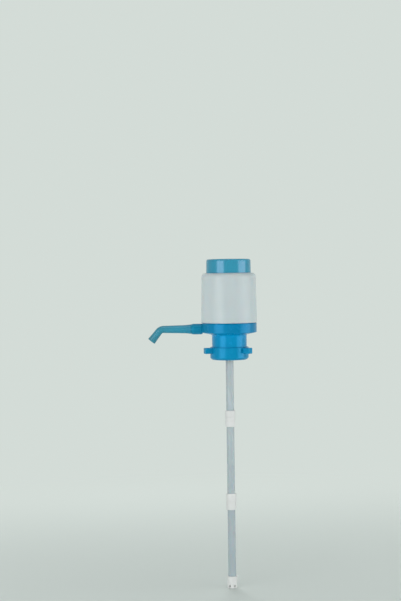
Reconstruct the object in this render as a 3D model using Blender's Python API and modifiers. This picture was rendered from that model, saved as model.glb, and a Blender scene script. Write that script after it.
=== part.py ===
"""Hand pump that clamps on the neck of a large water bottle.

Pressing the cap squeezes a bellows, which blows air into the bottle and drives
water up the dip tube and out of the spout. The origin is the middle of the
bottle's lip, where the neck gasket seats. The spout points along -X.
All values are in metres.
"""

import math

import bmesh
import bpy
from mathutils import Matrix, Vector

OBJECT_NAME = "water_jug_hand_pump"

# Fits and roundness that many pieces share
FIT = 0.0003
OVERRUN = 0.001
LARGE_SIDES = 36
MEDIUM_SIDES = 20
SMALL_SIDES = 10
ARC_STEPS = 4
MERGE_DISTANCE = 0.00001

# Bottle lip and neck gasket
CROWN_RADIUS = 0.0275
CROWN_FIT = 0.0011
GASKET_THICKNESS = 0.0020
GASKET_WIDTH = 0.0073

# Neck of the base, which reaches down past the lip
NECK_WALL = 0.0030
NECK_DROP = 0.0155
SHELF_THICKNESS = 0.0030
NECK_FILLET = 0.0022
NECK_BORE_RADIUS = CROWN_RADIUS + CROWN_FIT
NECK_RADIUS = NECK_BORE_RADIUS + NECK_WALL
SHELF_UNDERSIDE = GASKET_THICKNESS + FIT
SHELF_TOP = SHELF_UNDERSIDE + SHELF_THICKNESS
GASKET_RADIUS = NECK_BORE_RADIUS - FIT
GASKET_BORE_RADIUS = GASKET_RADIUS - GASKET_WIDTH

# Press cap, which gives the housing, the disc and the bellows their width
CAP_RADIUS = 0.0408
CAP_DRAFT = 0.0005
CAP_STROKE = 0.0220
CAP_PROUD = 0.0037
CAP_SKIRT_DEPTH = 0.0120
CAP_ROUNDING = 0.0034
CAP_WALL = 0.0022
CAP_ROOF = 0.0025
CAP_RUNNING_FIT = 0.0005
CAP_STOP_WIDTH = 0.0023
CAP_STOP_THICKNESS = 0.0024
CAP_TOP_RADIUS = CAP_RADIUS - CAP_DRAFT
CAP_BORE_RADIUS = CAP_RADIUS - CAP_WALL

# Housing, a drawn dome over the bellows
SHOULDER_RADIUS = 0.0081
HOUSING_DRAFT = 0.0018
HOUSING_HEIGHT = 0.0900
HOUSING_WALL = 0.0022
HOUSING_OPENING_RADIUS = CAP_RADIUS + CAP_RUNNING_FIT
HOUSING_TOP_RADIUS = HOUSING_OPENING_RADIUS + SHOULDER_RADIUS
HOUSING_FOOT_RADIUS = HOUSING_TOP_RADIUS + HOUSING_DRAFT

# Disc of the base, an open cup with a coned floor
DISC_SETBACK = 0.0010
DISC_UNDERSIDE = 0.0223
DISC_EDGE = 0.0006
FLOOR_DROP = 0.0040
FLOOR_THICKNESS = 0.0029
DISC_RADIUS = HOUSING_FOOT_RADIUS - DISC_SETBACK

# Spout: a plug end in the socket, a stop collar, a long tube and a bent outlet
SPOUT_TUBE_RADIUS = 0.0077
SPOUT_WALL = 0.0027
SPOUT_TAPER = 0.0011
SPOUT_TIP_FLARE = 0.0010
SPOUT_TIP_WALL = 0.0018
SPOUT_PLUG_RELIEF = 0.00025
SPOUT_PLUG_FIT = 0.00035
SPOUT_PLUG_REST = 0.0006
SPOUT_COLLAR_LIP = 0.00145
SPOUT_COLLAR_LENGTH = 0.0070
SPOUT_COLLAR_EDGE = 0.0012
SPOUT_COLLAR_STEP = 0.0003
SPOUT_TUBE_LENGTH = 0.0559
SPOUT_BEND_RADIUS = 0.0110
SPOUT_BEND_ANGLE = math.radians(51.5)
SPOUT_OUTLET_LENGTH = 0.0273
SPOUT_BEND_STEPS = 8
SPOUT_RESOLUTION = 6
SPOUT_BORE_RADIUS = SPOUT_TUBE_RADIUS - SPOUT_WALL
SPOUT_BEND_TUBE_RADIUS = SPOUT_TUBE_RADIUS - SPOUT_TAPER
SPOUT_TIP_RADIUS = SPOUT_BEND_TUBE_RADIUS + SPOUT_TIP_FLARE
SPOUT_TIP_BORE_RADIUS = SPOUT_TIP_RADIUS - SPOUT_TIP_WALL
SPOUT_PLUG_RADIUS = SPOUT_TUBE_RADIUS - SPOUT_PLUG_RELIEF
SPOUT_COLLAR_RADIUS = SPOUT_PLUG_RADIUS + SPOUT_COLLAR_LIP

# Spout socket on the disc and the water channel that feeds it
SPOUT_RISE = 0.0065
SOCKET_WALL = 0.0020
SOCKET_LENGTH = 0.0190
SOCKET_EDGE = 0.0012
CHANNEL_STEP = 0.0010
CHANNEL_WALL = 0.0017
SPOUT_HEIGHT = DISC_UNDERSIDE + SPOUT_RISE
SOCKET_REACH = DISC_RADIUS + SOCKET_LENGTH
SOCKET_BORE_RADIUS = SPOUT_PLUG_RADIUS + SPOUT_PLUG_FIT
SOCKET_RADIUS = SOCKET_BORE_RADIUS + SOCKET_WALL
CHANNEL_RADIUS = SPOUT_BORE_RADIUS - CHANNEL_STEP
PIPE_RADIUS = CHANNEL_RADIUS + CHANNEL_WALL
SPOUT_PLUG_END = DISC_RADIUS - SPOUT_PLUG_REST
SPOUT_COLLAR_START = SOCKET_REACH + FIT
SPOUT_CORNER_REACH = SOCKET_REACH + SPOUT_TUBE_LENGTH

# O-rings: wire radius, and places along the plug given from the plug's inner end
ORING_WIRE = 0.0006
ORING_WIRE_SIDES = 6
SPOUT_ORING_FIRST = 0.0040
SPOUT_ORING_SPACING = 0.0055
SPOUT_ORING_RADIUS = SOCKET_BORE_RADIUS - FIT - ORING_WIRE
SPOUT_GROOVE_RADIUS = SPOUT_ORING_RADIUS - ORING_WIRE - FIT
GROOVE_HALF_WIDTH = ORING_WIRE + FIT

# Central column of the base, which holds the dip tube
TUBE_RADIUS = 0.0070
TUBE_WALL = 0.0015
TUBE_INSERTION = 0.0287
COLUMN_WALL = 0.0014
COLUMN_DROP = 0.0130
COLUMN_STEP = 0.0013
COLUMN_BORE_ABOVE_CHANNEL = 0.0020
TUBE_SEAL_DEPTH = 0.0069
TUBE_BORE_RADIUS = TUBE_RADIUS - TUBE_WALL
COLUMN_BORE_RADIUS = TUBE_BORE_RADIUS - COLUMN_STEP
TUBE_SOCKET_RADIUS = TUBE_RADIUS + FIT
TUBE_SEAL_RADIUS = TUBE_SOCKET_RADIUS + ORING_WIRE
TUBE_GROOVE_RADIUS = TUBE_SEAL_RADIUS + ORING_WIRE + FIT
COLUMN_RADIUS = TUBE_GROOVE_RADIUS + COLUMN_WALL
COLUMN_TOP = SPOUT_HEIGHT + PIPE_RADIUS + FIT
COLUMN_BOTTOM = -COLUMN_DROP
TUBE_SEAL_HEIGHT = COLUMN_BOTTOM + TUBE_SEAL_DEPTH
SHELF_HOLE_RADIUS = 0.0026
SHELF_HOLE_COUNT = 4
SHELF_HOLE_PHASE = math.radians(25.0)
SHELF_HOLE_CIRCLE = (COLUMN_RADIUS + GASKET_BORE_RADIUS) / 2

# Umbrella valves under the deck and under the cap plate
AIR_HOLE_RADIUS = 0.0020
AIR_HOLE_CIRCLE = 0.0080
AIR_HOLE_COUNT = 6
VALVE_SEAT_WIDTH = 0.0030
VALVE_THICKNESS = 0.0010
VALVE_EDGE = 0.0003
VALVE_STEM_RADIUS = 0.0020
VALVE_BULB_RADIUS = 0.0032
VALVE_BULB_HEIGHT = 0.0022
VALVE_TRAVEL = 0.0015
VALVE_RADIUS = AIR_HOLE_CIRCLE + AIR_HOLE_RADIUS + VALVE_SEAT_WIDTH
VALVE_HOLE_RADIUS = VALVE_STEM_RADIUS + FIT

# Collar and ledge on the disc, which centre the housing and carry the deck
COLLAR_FIT = 0.0005
COLLAR_HEIGHT = 0.0056
COLLAR_WALL = 0.0022
LEDGE_DEPTH = 0.0037
LEDGE_WIDTH = 0.0030
COLLAR_RADIUS = HOUSING_FOOT_RADIUS - HOUSING_WALL - COLLAR_FIT
COLLAR_BORE_RADIUS = COLLAR_RADIUS - COLLAR_WALL
LEDGE_BORE_RADIUS = COLLAR_BORE_RADIUS - LEDGE_WIDTH
SOCKET_ROOT = COLLAR_RADIUS

# Deck plate and its seal; the open valve under the deck clears the column
DECK_RADIUS = COLLAR_BORE_RADIUS - FIT
DECK_THICKNESS = 0.0030
DECK_SEAL_THICKNESS = 0.0010
DECK_SEAL_WIDTH = LEDGE_WIDTH - FIT - FIT
DECK_UNDERSIDE = COLUMN_TOP + FIT + VALVE_TRAVEL + VALVE_THICKNESS + FIT
DECK_TOP = DECK_UNDERSIDE + DECK_THICKNESS
LEDGE_TOP = DECK_UNDERSIDE - FIT - DECK_SEAL_THICKNESS - FIT
DISC_TOP = LEDGE_TOP + LEDGE_DEPTH

# Heights of the housing and the cap on the disc
HOUSING_BOTTOM = DISC_TOP + FIT
HOUSING_TOP = HOUSING_BOTTOM + HOUSING_HEIGHT
SHOULDER_HEIGHT = HOUSING_TOP - SHOULDER_RADIUS
CAP_TOP = HOUSING_TOP + CAP_STROKE + CAP_PROUD
CAP_CEILING = CAP_TOP - CAP_ROOF

# Cap plate, which carries the upper end of the bellows
PLATE_STANDOFF = 0.0045
PLATE_THICKNESS = 0.0030
PLATE_RADIUS = CAP_BORE_RADIUS - FIT
PLATE_TOP = CAP_CEILING - PLATE_STANDOFF
PLATE_UNDERSIDE = PLATE_TOP - PLATE_THICKNESS
VENT_RADIUS = 0.0016
VENT_COUNT = 4

# Bellows and the clamp rings over its flanges
CLAMP_THICKNESS = 0.0025
CLAMP_WIDTH = 0.0061
CLAMP_FIT = 0.0004
BELLOWS_RIB_DEPTH = 0.0055
BELLOWS_WALL = 0.0012
BELLOWS_FLANGE_WIDTH = 0.0021
BELLOWS_FLANGE_THICKNESS = 0.0015
BELLOWS_END_LENGTH = 0.0096
BELLOWS_RIBS = 10
CLAMP_RADIUS = PLATE_RADIUS
CLAMP_BORE_RADIUS = CLAMP_RADIUS - CLAMP_WIDTH
BELLOWS_NECK_RADIUS = CLAMP_BORE_RADIUS - CLAMP_FIT
BELLOWS_RIB_RADIUS = BELLOWS_NECK_RADIUS + BELLOWS_RIB_DEPTH
BELLOWS_FLANGE_RADIUS = BELLOWS_NECK_RADIUS + BELLOWS_FLANGE_WIDTH
BELLOWS_BOTTOM = DECK_TOP + FIT
BELLOWS_TOP = PLATE_UNDERSIDE - FIT
BELLOWS_LENGTH = BELLOWS_TOP - BELLOWS_BOTTOM
LOWER_CLAMP_BOTTOM = BELLOWS_BOTTOM + BELLOWS_FLANGE_THICKNESS + FIT
UPPER_CLAMP_TOP = BELLOWS_TOP - BELLOWS_FLANGE_THICKNESS - FIT

# Screws through the clamp rings into posts in the base and in the cap
SCREW_COUNT = 4
SCREW_PHASE = math.radians(45.0)
SCREW_CIRCLE = (BELLOWS_FLANGE_RADIUS + CLAMP_RADIUS) / 2
SCREW_RADIUS = 0.0012
SCREW_HEAD_RADIUS = 0.0020
SCREW_HEAD_HEIGHT = 0.0021
SCREW_HEAD_EDGE = 0.0005
SCREW_TIP = 0.0008
SCREW_BITE = 0.0038
SCREW_HOLE_RADIUS = SCREW_RADIUS + FIT
SCREW_BOTTOM_ROOM = 0.0008
BASE_POST_RADIUS = 0.0028
CAP_POST_RADIUS = 0.0030

# Dip tube in three lengths, with couplers between them and a foot strainer
TUBE_LENGTH = 0.1500
COUPLER_LENGTH = 0.0300
COUPLER_WALL = 0.0019
COUPLER_RIB_THICKNESS = 0.0010
COUPLER_EDGE = 0.0006
STRAINER_GRIP = 0.0140
STRAINER_ROOM = 0.0042
STRAINER_FLOOR = 0.0020
STRAINER_SLOT_WIDTH = 0.0026
STRAINER_SLOT_COUNT = 6
STRAINER_HOLE_RADIUS = 0.0012
STRAINER_HOLE_CIRCLE = 0.0034
COUPLER_RADIUS = TUBE_SOCKET_RADIUS + COUPLER_WALL
COUPLER_RIB_RADIUS = TUBE_BORE_RADIUS
TUBE_TOP = COLUMN_BOTTOM + TUBE_INSERTION
TUBE_PITCH = TUBE_LENGTH + FIT + COUPLER_RIB_THICKNESS + FIT

# Screw thread between the neck and the lock ring, cut as round beads
THREAD_LEAD = 0.0120
THREAD_STARTS = 3
THREAD_SWEEP = math.radians(115.0)
THREAD_LUG_START = math.radians(80.0)
THREAD_LUG_SWEEP = math.radians(28.0)
THREAD_STEP = math.radians(10.0)
THREAD_BEAD = 0.0008
THREAD_RESOLUTION = 1
THREAD_BEAD_SINK = 0.0006
THREAD_UNDERCUT = 0.0008
THREAD_RUNOUT = 0.0016
THREAD_FIT = 0.0004
THREAD_ROOT_RADIUS = NECK_RADIUS - THREAD_UNDERCUT
NECK_BEAD_RADIUS = THREAD_ROOT_RADIUS + THREAD_BEAD - THREAD_BEAD_SINK
NECK_BEAD_HEIGHT = -NECK_DROP + THREAD_RUNOUT

# Lock ring with its ears; its cone squeezes the collet under the neck
COLLET_HEIGHT = 0.0102
COLLET_BAND = 0.0007
LOCK_RING_DROP = 0.0042
LOCK_RING_WALL = 0.0029
LOCK_RING_EDGE = 0.0006
LOCK_RING_CHAMFER = 0.0032
LOCK_RING_MOUTH_FIT = 0.0017
LOCK_RING_MOUTH_HEIGHT = 0.0010
LOCK_RING_FIT = 0.0006
EAR_COUNT = 3
EAR_TURN = math.radians(202.0)
EAR_LENGTH = 0.0135
EAR_WIDTH = 0.0110
EAR_HEIGHT = 0.0108
EAR_ROUNDING = 0.0012
EAR_SINK = 0.0010
EAR_STEP = 0.0006
COLLET_TOP = -NECK_DROP - FIT
LOCK_RING_TOP = -LOCK_RING_DROP
CONE_BOTTOM = COLLET_TOP - COLLET_HEIGHT
LOCK_RING_BOTTOM = CONE_BOTTOM - LOCK_RING_MOUTH_HEIGHT
LOCK_RING_CONE_HEIGHT = COLLET_HEIGHT - COLLET_BAND
CONE_TOP = CONE_BOTTOM + LOCK_RING_CONE_HEIGHT
LOCK_RING_BORE_RADIUS = NECK_RADIUS + LOCK_RING_FIT
LOCK_RING_RADIUS = LOCK_RING_BORE_RADIUS + LOCK_RING_WALL
LOCK_RING_FOOT_RADIUS = LOCK_RING_RADIUS - LOCK_RING_CHAMFER
LOCK_RING_MOUTH_RADIUS = CROWN_RADIUS + LOCK_RING_MOUTH_FIT
RING_BEAD_RADIUS = LOCK_RING_BORE_RADIUS - THREAD_BEAD + THREAD_BEAD_SINK
EAR_REACH = LOCK_RING_RADIUS + EAR_LENGTH

# Grip collet, the split ring that the lock ring squeezes on the bottle's crown
COLLET_FIT = 0.0003
COLLET_TOP_GAP = 0.0009
COLLET_SPLIT = 0.0020
COLLET_SLOT_WIDTH = 0.0012
COLLET_SLOT_COUNT = 7
COLLET_SLOT_HEIGHT = 0.0048
COLLET_BORE_RADIUS = CROWN_RADIUS + COLLET_FIT
COLLET_RADIUS = LOCK_RING_BORE_RADIUS - COLLET_TOP_GAP

# Finishes: colour, roughness and metallic value
BLUE_FINISH = ("blue_plastic", (0.008, 0.262, 0.455), 0.22, 0.0)
PALE_BLUE_FINISH = ("cap_blue_plastic", (0.045, 0.270, 0.400), 0.25, 0.0)
MILKY_FINISH = ("milky_plastic", (0.530, 0.600, 0.610), 0.35, 0.0)
WHITE_FINISH = ("white_plastic", (0.800, 0.810, 0.800), 0.40, 0.0)
BELLOWS_FINISH = ("bellows_plastic", (0.700, 0.740, 0.760), 0.45, 0.0)
TUBE_FINISH = ("tube_plastic", (0.620, 0.700, 0.740), 0.20, 0.0)
RUBBER_FINISH = ("seal_rubber", (0.060, 0.060, 0.065), 0.70, 0.0)
SILICONE_FINISH = ("valve_silicone", (0.750, 0.770, 0.760), 0.55, 0.0)
STEEL_FINISH = ("screw_steel", (0.550, 0.560, 0.570), 0.30, 1.0)


def clear_scene():
    for old in list(bpy.data.objects):
        bpy.data.objects.remove(old, do_unlink=True)


def new_collection(name):
    collection = bpy.data.collections.new(name)
    bpy.context.scene.collection.children.link(collection)
    return collection


def finish_material(finish):
    name, colour, roughness, metallic = finish
    material = bpy.data.materials.get(name)
    if material is None:
        material = bpy.data.materials.new(name)
        material.use_nodes = True
        shader = material.node_tree.nodes["Principled BSDF"]
        shader.inputs["Base Color"].default_value = (*colour, 1.0)
        shader.inputs["Roughness"].default_value = roughness
        shader.inputs["Metallic"].default_value = metallic
    return material


def add_part(name, mesh, finish, place=(0.0, 0.0, 0.0), parent=None):
    part = bpy.data.objects.new(name, mesh)
    part.location = place
    part.parent = parent
    mesh.materials.clear()
    mesh.materials.append(finish_material(finish))
    PARTS.objects.link(part)
    return part


def add_tool(name, mesh, place=(0.0, 0.0, 0.0), parent=None):
    """Add a shape that only cuts or joins another piece."""
    tool = bpy.data.objects.new(name, mesh)
    tool.location = place
    tool.parent = parent
    tool.hide_render = True
    tool.display_type = "WIRE"
    CUTTERS.objects.link(tool)
    return tool


def add_joint_empty(name, place, rotation=(0.0, 0.0, 0.0)):
    empty = bpy.data.objects.new(name, None)
    empty.location = place
    empty.rotation_euler = rotation
    PARTS.objects.link(empty)
    return empty


def combine(part, tool, operation):
    modifier = part.modifiers.new(tool.name, "BOOLEAN")
    modifier.operation = operation
    modifier.solver = "EXACT"
    modifier.object = tool


def arc_points(centre, radius, start, end):
    """Points of an arc in the (radius, height) plane, with angles in degrees."""
    points = []
    for step in range(ARC_STEPS + 1):
        angle = math.radians(start + (end - start) * step / ARC_STEPS)
        points.append((centre[0] + radius * math.cos(angle), centre[1] + radius * math.sin(angle)))
    return points


def ring_outline(bore, radius, bottom, top):
    """Outline of a plain ring, down its outer side and up its bore."""
    return [(radius, top), (radius, bottom), (bore, bottom), (bore, top)]


def outline_mesh(name, outline):
    """Mesh of an outline, closed on itself unless it starts on the axis."""
    mesh = bpy.data.meshes.new(name)
    count = len(outline)
    edges = [(index, index + 1) for index in range(count - 1)]
    if outline[0][0] > 0.0:
        edges.append((count - 1, 0))
    mesh.from_pydata([(radius, 0.0, height) for radius, height in outline], edges, [])
    return mesh


def turn(part, sides):
    """Turn the outline about the part's own Z axis."""
    modifier = part.modifiers.new("turned", "SCREW")
    modifier.axis = "Z"
    modifier.angle = math.tau
    modifier.steps = sides
    modifier.render_steps = sides
    modifier.use_merge_vertices = True
    modifier.merge_threshold = MERGE_DISTANCE
    modifier.use_smooth_shade = True
    return part


def turned_part(name, outline, sides, finish, place=(0.0, 0.0, 0.0), parent=None):
    return turn(add_part(name, outline_mesh(name, outline), finish, place, parent), sides)


def turned_tool(name, outline, sides, place=(0.0, 0.0, 0.0), parent=None):
    return turn(add_tool(name, outline_mesh(name, outline), place, parent), sides)


def mesh_from(name, build):
    """Mesh made by a function that fills a bmesh."""
    mesh = bpy.data.meshes.new(name)
    shape = bmesh.new()
    build(shape)
    shape.to_mesh(mesh)
    shape.free()
    return mesh


def add_cylinder(shape, radius, bottom, top, centre=(0.0, 0.0), sides=SMALL_SIDES):
    middle = Matrix.Translation((centre[0], centre[1], (bottom + top) / 2))
    bmesh.ops.create_cone(shape, cap_ends=True, segments=sides, radius1=radius,
                          radius2=radius, depth=top - bottom, matrix=middle)


def ring_places(circle, count, phase=0.0):
    """Centres of copies spread evenly on a circle."""
    places = []
    for index in range(count):
        angle = phase + math.tau * index / count
        places.append((circle * math.cos(angle), circle * math.sin(angle)))
    return places


def cylinder_ring(name, circle, count, radius, bottom, top, phase=0.0):
    """Tool of equal upright cylinders on a circle."""
    def build(shape):
        for centre in ring_places(circle, count, phase):
            add_cylinder(shape, radius, bottom, top, centre)
    return add_tool(name, mesh_from(name, build))


def radial_slots(name, count, reach, width, bottom, top, phase=0.0):
    """Tool of upright slots that run out from the axis."""
    def build(shape):
        size = Matrix.Diagonal((reach, width, top - bottom, 1.0))
        for index in range(count):
            turned_by = Matrix.Rotation(phase + math.tau * index / count, 4, "Z")
            place = Matrix.Translation((reach / 2, 0.0, (bottom + top) / 2))
            bmesh.ops.create_cube(shape, size=1.0, matrix=turned_by @ place @ size)
    return add_tool(name, mesh_from(name, build))


def bar_mesh(name, bars, resolution):
    """Mesh of round bars, each a list of points with the radius at each point."""
    curve = bpy.data.curves.new(name, "CURVE")
    curve.dimensions = "3D"
    curve.bevel_depth = 1.0
    curve.bevel_resolution = resolution
    curve.use_fill_caps = True
    for bar_points in bars:
        spline = curve.splines.new("POLY")
        spline.points.add(len(bar_points) - 1)
        for spline_point, (point, radius) in zip(spline.points, bar_points):
            spline_point.co = (*point, 1.0)
            spline_point.radius = radius
    bar = bpy.data.objects.new(name, curve)
    bpy.context.scene.collection.objects.link(bar)
    bpy.context.view_layer.update()
    evaluated = bar.evaluated_get(bpy.context.evaluated_depsgraph_get())
    mesh = bpy.data.meshes.new_from_object(evaluated)
    shape = bmesh.new()
    shape.from_mesh(mesh)
    bmesh.ops.remove_doubles(shape, verts=shape.verts, dist=MERGE_DISTANCE)
    shape.to_mesh(mesh)
    shape.free()
    bpy.data.objects.remove(bar, do_unlink=True)
    return mesh


def helix_bars(radius, height, start, sweep, bead):
    """One bead for each thread start, rising with the turn about Z."""
    bars = []
    count = math.ceil(sweep / THREAD_STEP)
    for index in range(THREAD_STARTS):
        bar = []
        for step in range(count + 1):
            turned_by = start + sweep * step / count
            angle = turned_by + math.tau * index / THREAD_STARTS
            rise = THREAD_LEAD * turned_by / math.tau
            point = (radius * math.cos(angle), radius * math.sin(angle), height + rise)
            bar.append((point, bead))
        bars.append(bar)
    return bars


def floor_underside(radius):
    """Height of the coned floor's underside at a radius."""
    run = DISC_RADIUS - DISC_EDGE - NECK_RADIUS
    share = (radius - NECK_RADIUS) / run
    return DISC_UNDERSIDE - FLOOR_DROP * (1.0 - share)


def base_outline():
    """From the column's top, across the cup, down the outside and up the bore."""
    fillet_centre = (NECK_RADIUS + NECK_FILLET, floor_underside(NECK_RADIUS + NECK_FILLET) - NECK_FILLET)
    groove_bottom = TUBE_SEAL_HEIGHT - GROOVE_HALF_WIDTH
    groove_top = TUBE_SEAL_HEIGHT + GROOVE_HALF_WIDTH
    bore_top = SPOUT_HEIGHT + COLUMN_BORE_ABOVE_CHANNEL
    outline = [
        (0.0, COLUMN_TOP),
        (COLUMN_RADIUS, COLUMN_TOP),
        (COLUMN_RADIUS, SHELF_TOP),
        (NECK_BORE_RADIUS, SHELF_TOP),
        (NECK_BORE_RADIUS, floor_underside(NECK_BORE_RADIUS) + FLOOR_THICKNESS),
        (LEDGE_BORE_RADIUS, floor_underside(LEDGE_BORE_RADIUS) + FLOOR_THICKNESS),
        (LEDGE_BORE_RADIUS, LEDGE_TOP),
        (COLLAR_BORE_RADIUS, LEDGE_TOP),
        (COLLAR_BORE_RADIUS, DISC_TOP + COLLAR_HEIGHT),
        (COLLAR_RADIUS, DISC_TOP + COLLAR_HEIGHT),
        (COLLAR_RADIUS, DISC_TOP),
        (DISC_RADIUS - DISC_EDGE, DISC_TOP),
        (DISC_RADIUS, DISC_TOP - DISC_EDGE),
        (DISC_RADIUS, DISC_UNDERSIDE + DISC_EDGE),
        (DISC_RADIUS - DISC_EDGE, DISC_UNDERSIDE),
    ]
    outline += arc_points(fillet_centre, NECK_FILLET, 90.0, 180.0)
    outline += [
        (NECK_RADIUS, LOCK_RING_TOP - LOCK_RING_EDGE),
        (THREAD_ROOT_RADIUS, LOCK_RING_TOP - LOCK_RING_EDGE - THREAD_UNDERCUT),
        (THREAD_ROOT_RADIUS, -NECK_DROP),
        (NECK_BORE_RADIUS, -NECK_DROP),
        (NECK_BORE_RADIUS, SHELF_UNDERSIDE),
        (COLUMN_RADIUS, SHELF_UNDERSIDE),
        (COLUMN_RADIUS, COLUMN_BOTTOM),
        (TUBE_SOCKET_RADIUS, COLUMN_BOTTOM),
        (TUBE_SOCKET_RADIUS, groove_bottom),
        (TUBE_GROOVE_RADIUS, groove_bottom),
        (TUBE_GROOVE_RADIUS, groove_top),
        (TUBE_SOCKET_RADIUS, groove_top),
        (TUBE_SOCKET_RADIUS, TUBE_TOP + FIT),
        (COLUMN_BORE_RADIUS, TUBE_TOP + FIT),
        (COLUMN_BORE_RADIUS, bore_top),
        (0.0, bore_top),
    ]
    return outline


def make_base_body(spout_axis):
    base = turned_part("base_body", base_outline(), LARGE_SIDES, BLUE_FINISH)
    socket_outline = [
        (0.0, SOCKET_REACH),
        (SOCKET_RADIUS - SOCKET_EDGE, SOCKET_REACH),
        (SOCKET_RADIUS, SOCKET_REACH - SOCKET_EDGE),
        (SOCKET_RADIUS, SOCKET_ROOT),
        (0.0, SOCKET_ROOT),
    ]
    socket = turned_tool("socket", socket_outline, MEDIUM_SIDES, parent=spout_axis)
    channel_end = LEDGE_BORE_RADIUS + LEDGE_WIDTH / 2
    pipe_outline = ring_outline(0.0, PIPE_RADIUS, TUBE_SOCKET_RADIUS, channel_end)
    pipe = turned_tool("water_pipe", pipe_outline[3:] + pipe_outline[:3], SMALL_SIDES, parent=spout_axis)
    post_foot = floor_underside(SCREW_CIRCLE) + FLOOR_THICKNESS / 2
    posts = cylinder_ring("base_posts", SCREW_CIRCLE, SCREW_COUNT, BASE_POST_RADIUS,
                          post_foot, DECK_UNDERSIDE - FIT, SCREW_PHASE)
    bead_bars = helix_bars(NECK_BEAD_RADIUS, NECK_BEAD_HEIGHT, 0.0, THREAD_SWEEP, THREAD_BEAD)
    beads = add_tool("neck_thread", bar_mesh("neck_thread", bead_bars, THREAD_RESOLUTION))
    for tool in (socket, pipe, posts, beads):
        combine(base, tool, "UNION")

    water_way_outline = [
        (0.0, SOCKET_REACH + OVERRUN),
        (SOCKET_BORE_RADIUS, SOCKET_REACH + OVERRUN),
        (SOCKET_BORE_RADIUS, SPOUT_PLUG_END - FIT),
        (CHANNEL_RADIUS, SPOUT_PLUG_END - FIT),
        (CHANNEL_RADIUS, 0.0),
        (0.0, 0.0),
    ]
    water_way = turned_tool("water_way", water_way_outline, MEDIUM_SIDES, parent=spout_axis)
    post_holes = cylinder_ring("base_post_holes", SCREW_CIRCLE, SCREW_COUNT, SCREW_HOLE_RADIUS,
                               base_screw_tip() - SCREW_BOTTOM_ROOM, DECK_UNDERSIDE + OVERRUN, SCREW_PHASE)
    shelf_holes = cylinder_ring("shelf_holes", SHELF_HOLE_CIRCLE, SHELF_HOLE_COUNT, SHELF_HOLE_RADIUS,
                                SHELF_UNDERSIDE - OVERRUN, SHELF_TOP + OVERRUN, SHELF_HOLE_PHASE)
    for tool in (post_holes, shelf_holes, water_way):
        combine(base, tool, "DIFFERENCE")
    return base


def make_plate(name, radius, underside, thickness, finish):
    """Plate with a valve's stem hole, its air holes and the screw holes."""
    plate = turned_part(name, ring_outline(VALVE_HOLE_RADIUS, radius, 0.0, thickness), LARGE_SIDES,
                        finish, (0.0, 0.0, underside))
    bottom = underside - OVERRUN
    top = underside + thickness + OVERRUN
    air_holes = cylinder_ring(name + "_air_holes", AIR_HOLE_CIRCLE, AIR_HOLE_COUNT,
                              AIR_HOLE_RADIUS, bottom, top)
    screw_holes = cylinder_ring(name + "_screw_holes", SCREW_CIRCLE, SCREW_COUNT,
                                SCREW_HOLE_RADIUS, bottom, top, SCREW_PHASE)
    combine(plate, air_holes, "DIFFERENCE")
    combine(plate, screw_holes, "DIFFERENCE")
    return plate


def make_deck():
    make_plate("deck_plate", DECK_RADIUS, DECK_UNDERSIDE, DECK_THICKNESS, WHITE_FINISH)
    turned_part("deck_seal", ring_outline(DECK_RADIUS - DECK_SEAL_WIDTH, DECK_RADIUS, 0.0, DECK_SEAL_THICKNESS),
                LARGE_SIDES, RUBBER_FINISH, (0.0, 0.0, LEDGE_TOP + FIT))


def make_cap_plate():
    plate = make_plate("cap_plate", PLATE_RADIUS, PLATE_UNDERSIDE, PLATE_THICKNESS, WHITE_FINISH)
    vents = cylinder_ring("plate_vents", PLATE_RADIUS, VENT_COUNT, VENT_RADIUS,
                          PLATE_UNDERSIDE - OVERRUN, PLATE_TOP + OVERRUN)
    combine(plate, vents, "DIFFERENCE")


def make_clamp_ring(name, bottom):
    ring = turned_part(name, ring_outline(CLAMP_BORE_RADIUS, CLAMP_RADIUS, 0.0, CLAMP_THICKNESS),
                       LARGE_SIDES, WHITE_FINISH, (0.0, 0.0, bottom))
    holes = cylinder_ring(name + "_holes", SCREW_CIRCLE, SCREW_COUNT, SCREW_HOLE_RADIUS,
                          bottom - OVERRUN, bottom + CLAMP_THICKNESS + OVERRUN, SCREW_PHASE)
    combine(ring, holes, "DIFFERENCE")


def base_screw_tip():
    return DECK_UNDERSIDE - SCREW_BITE


def cap_screw_tip():
    return PLATE_TOP + SCREW_BITE - SCREW_TIP


def screw_mesh(name, length):
    """Pan-head screw, head upward, with the underside of its head at zero."""
    outline = [
        (0.0, SCREW_HEAD_HEIGHT),
        (SCREW_HEAD_RADIUS - SCREW_HEAD_EDGE, SCREW_HEAD_HEIGHT),
        (SCREW_HEAD_RADIUS, SCREW_HEAD_HEIGHT - SCREW_HEAD_EDGE),
        (SCREW_HEAD_RADIUS, 0.0),
        (SCREW_RADIUS, 0.0),
        (SCREW_RADIUS, SCREW_TIP - length),
        (0.0, -length),
    ]
    return outline_mesh(name, outline)


def make_screws():
    head_seat = LOWER_CLAMP_BOTTOM + CLAMP_THICKNESS + FIT
    base_mesh = screw_mesh("base_screw", head_seat - base_screw_tip())
    cap_seat = UPPER_CLAMP_TOP - CLAMP_THICKNESS - FIT
    cap_mesh = screw_mesh("cap_screw", cap_screw_tip() - cap_seat)
    places = ring_places(SCREW_CIRCLE, SCREW_COUNT, SCREW_PHASE)
    for number, (x, y) in enumerate(places, start=1):
        turn(add_part(f"base_screw_{number}", base_mesh, STEEL_FINISH, (x, y, head_seat)), SMALL_SIDES)
        screw = add_part(f"cap_screw_{number}", cap_mesh, STEEL_FINISH, (x, y, cap_seat))
        screw.rotation_euler = (math.pi, 0.0, 0.0)
        turn(screw, SMALL_SIDES)


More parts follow.
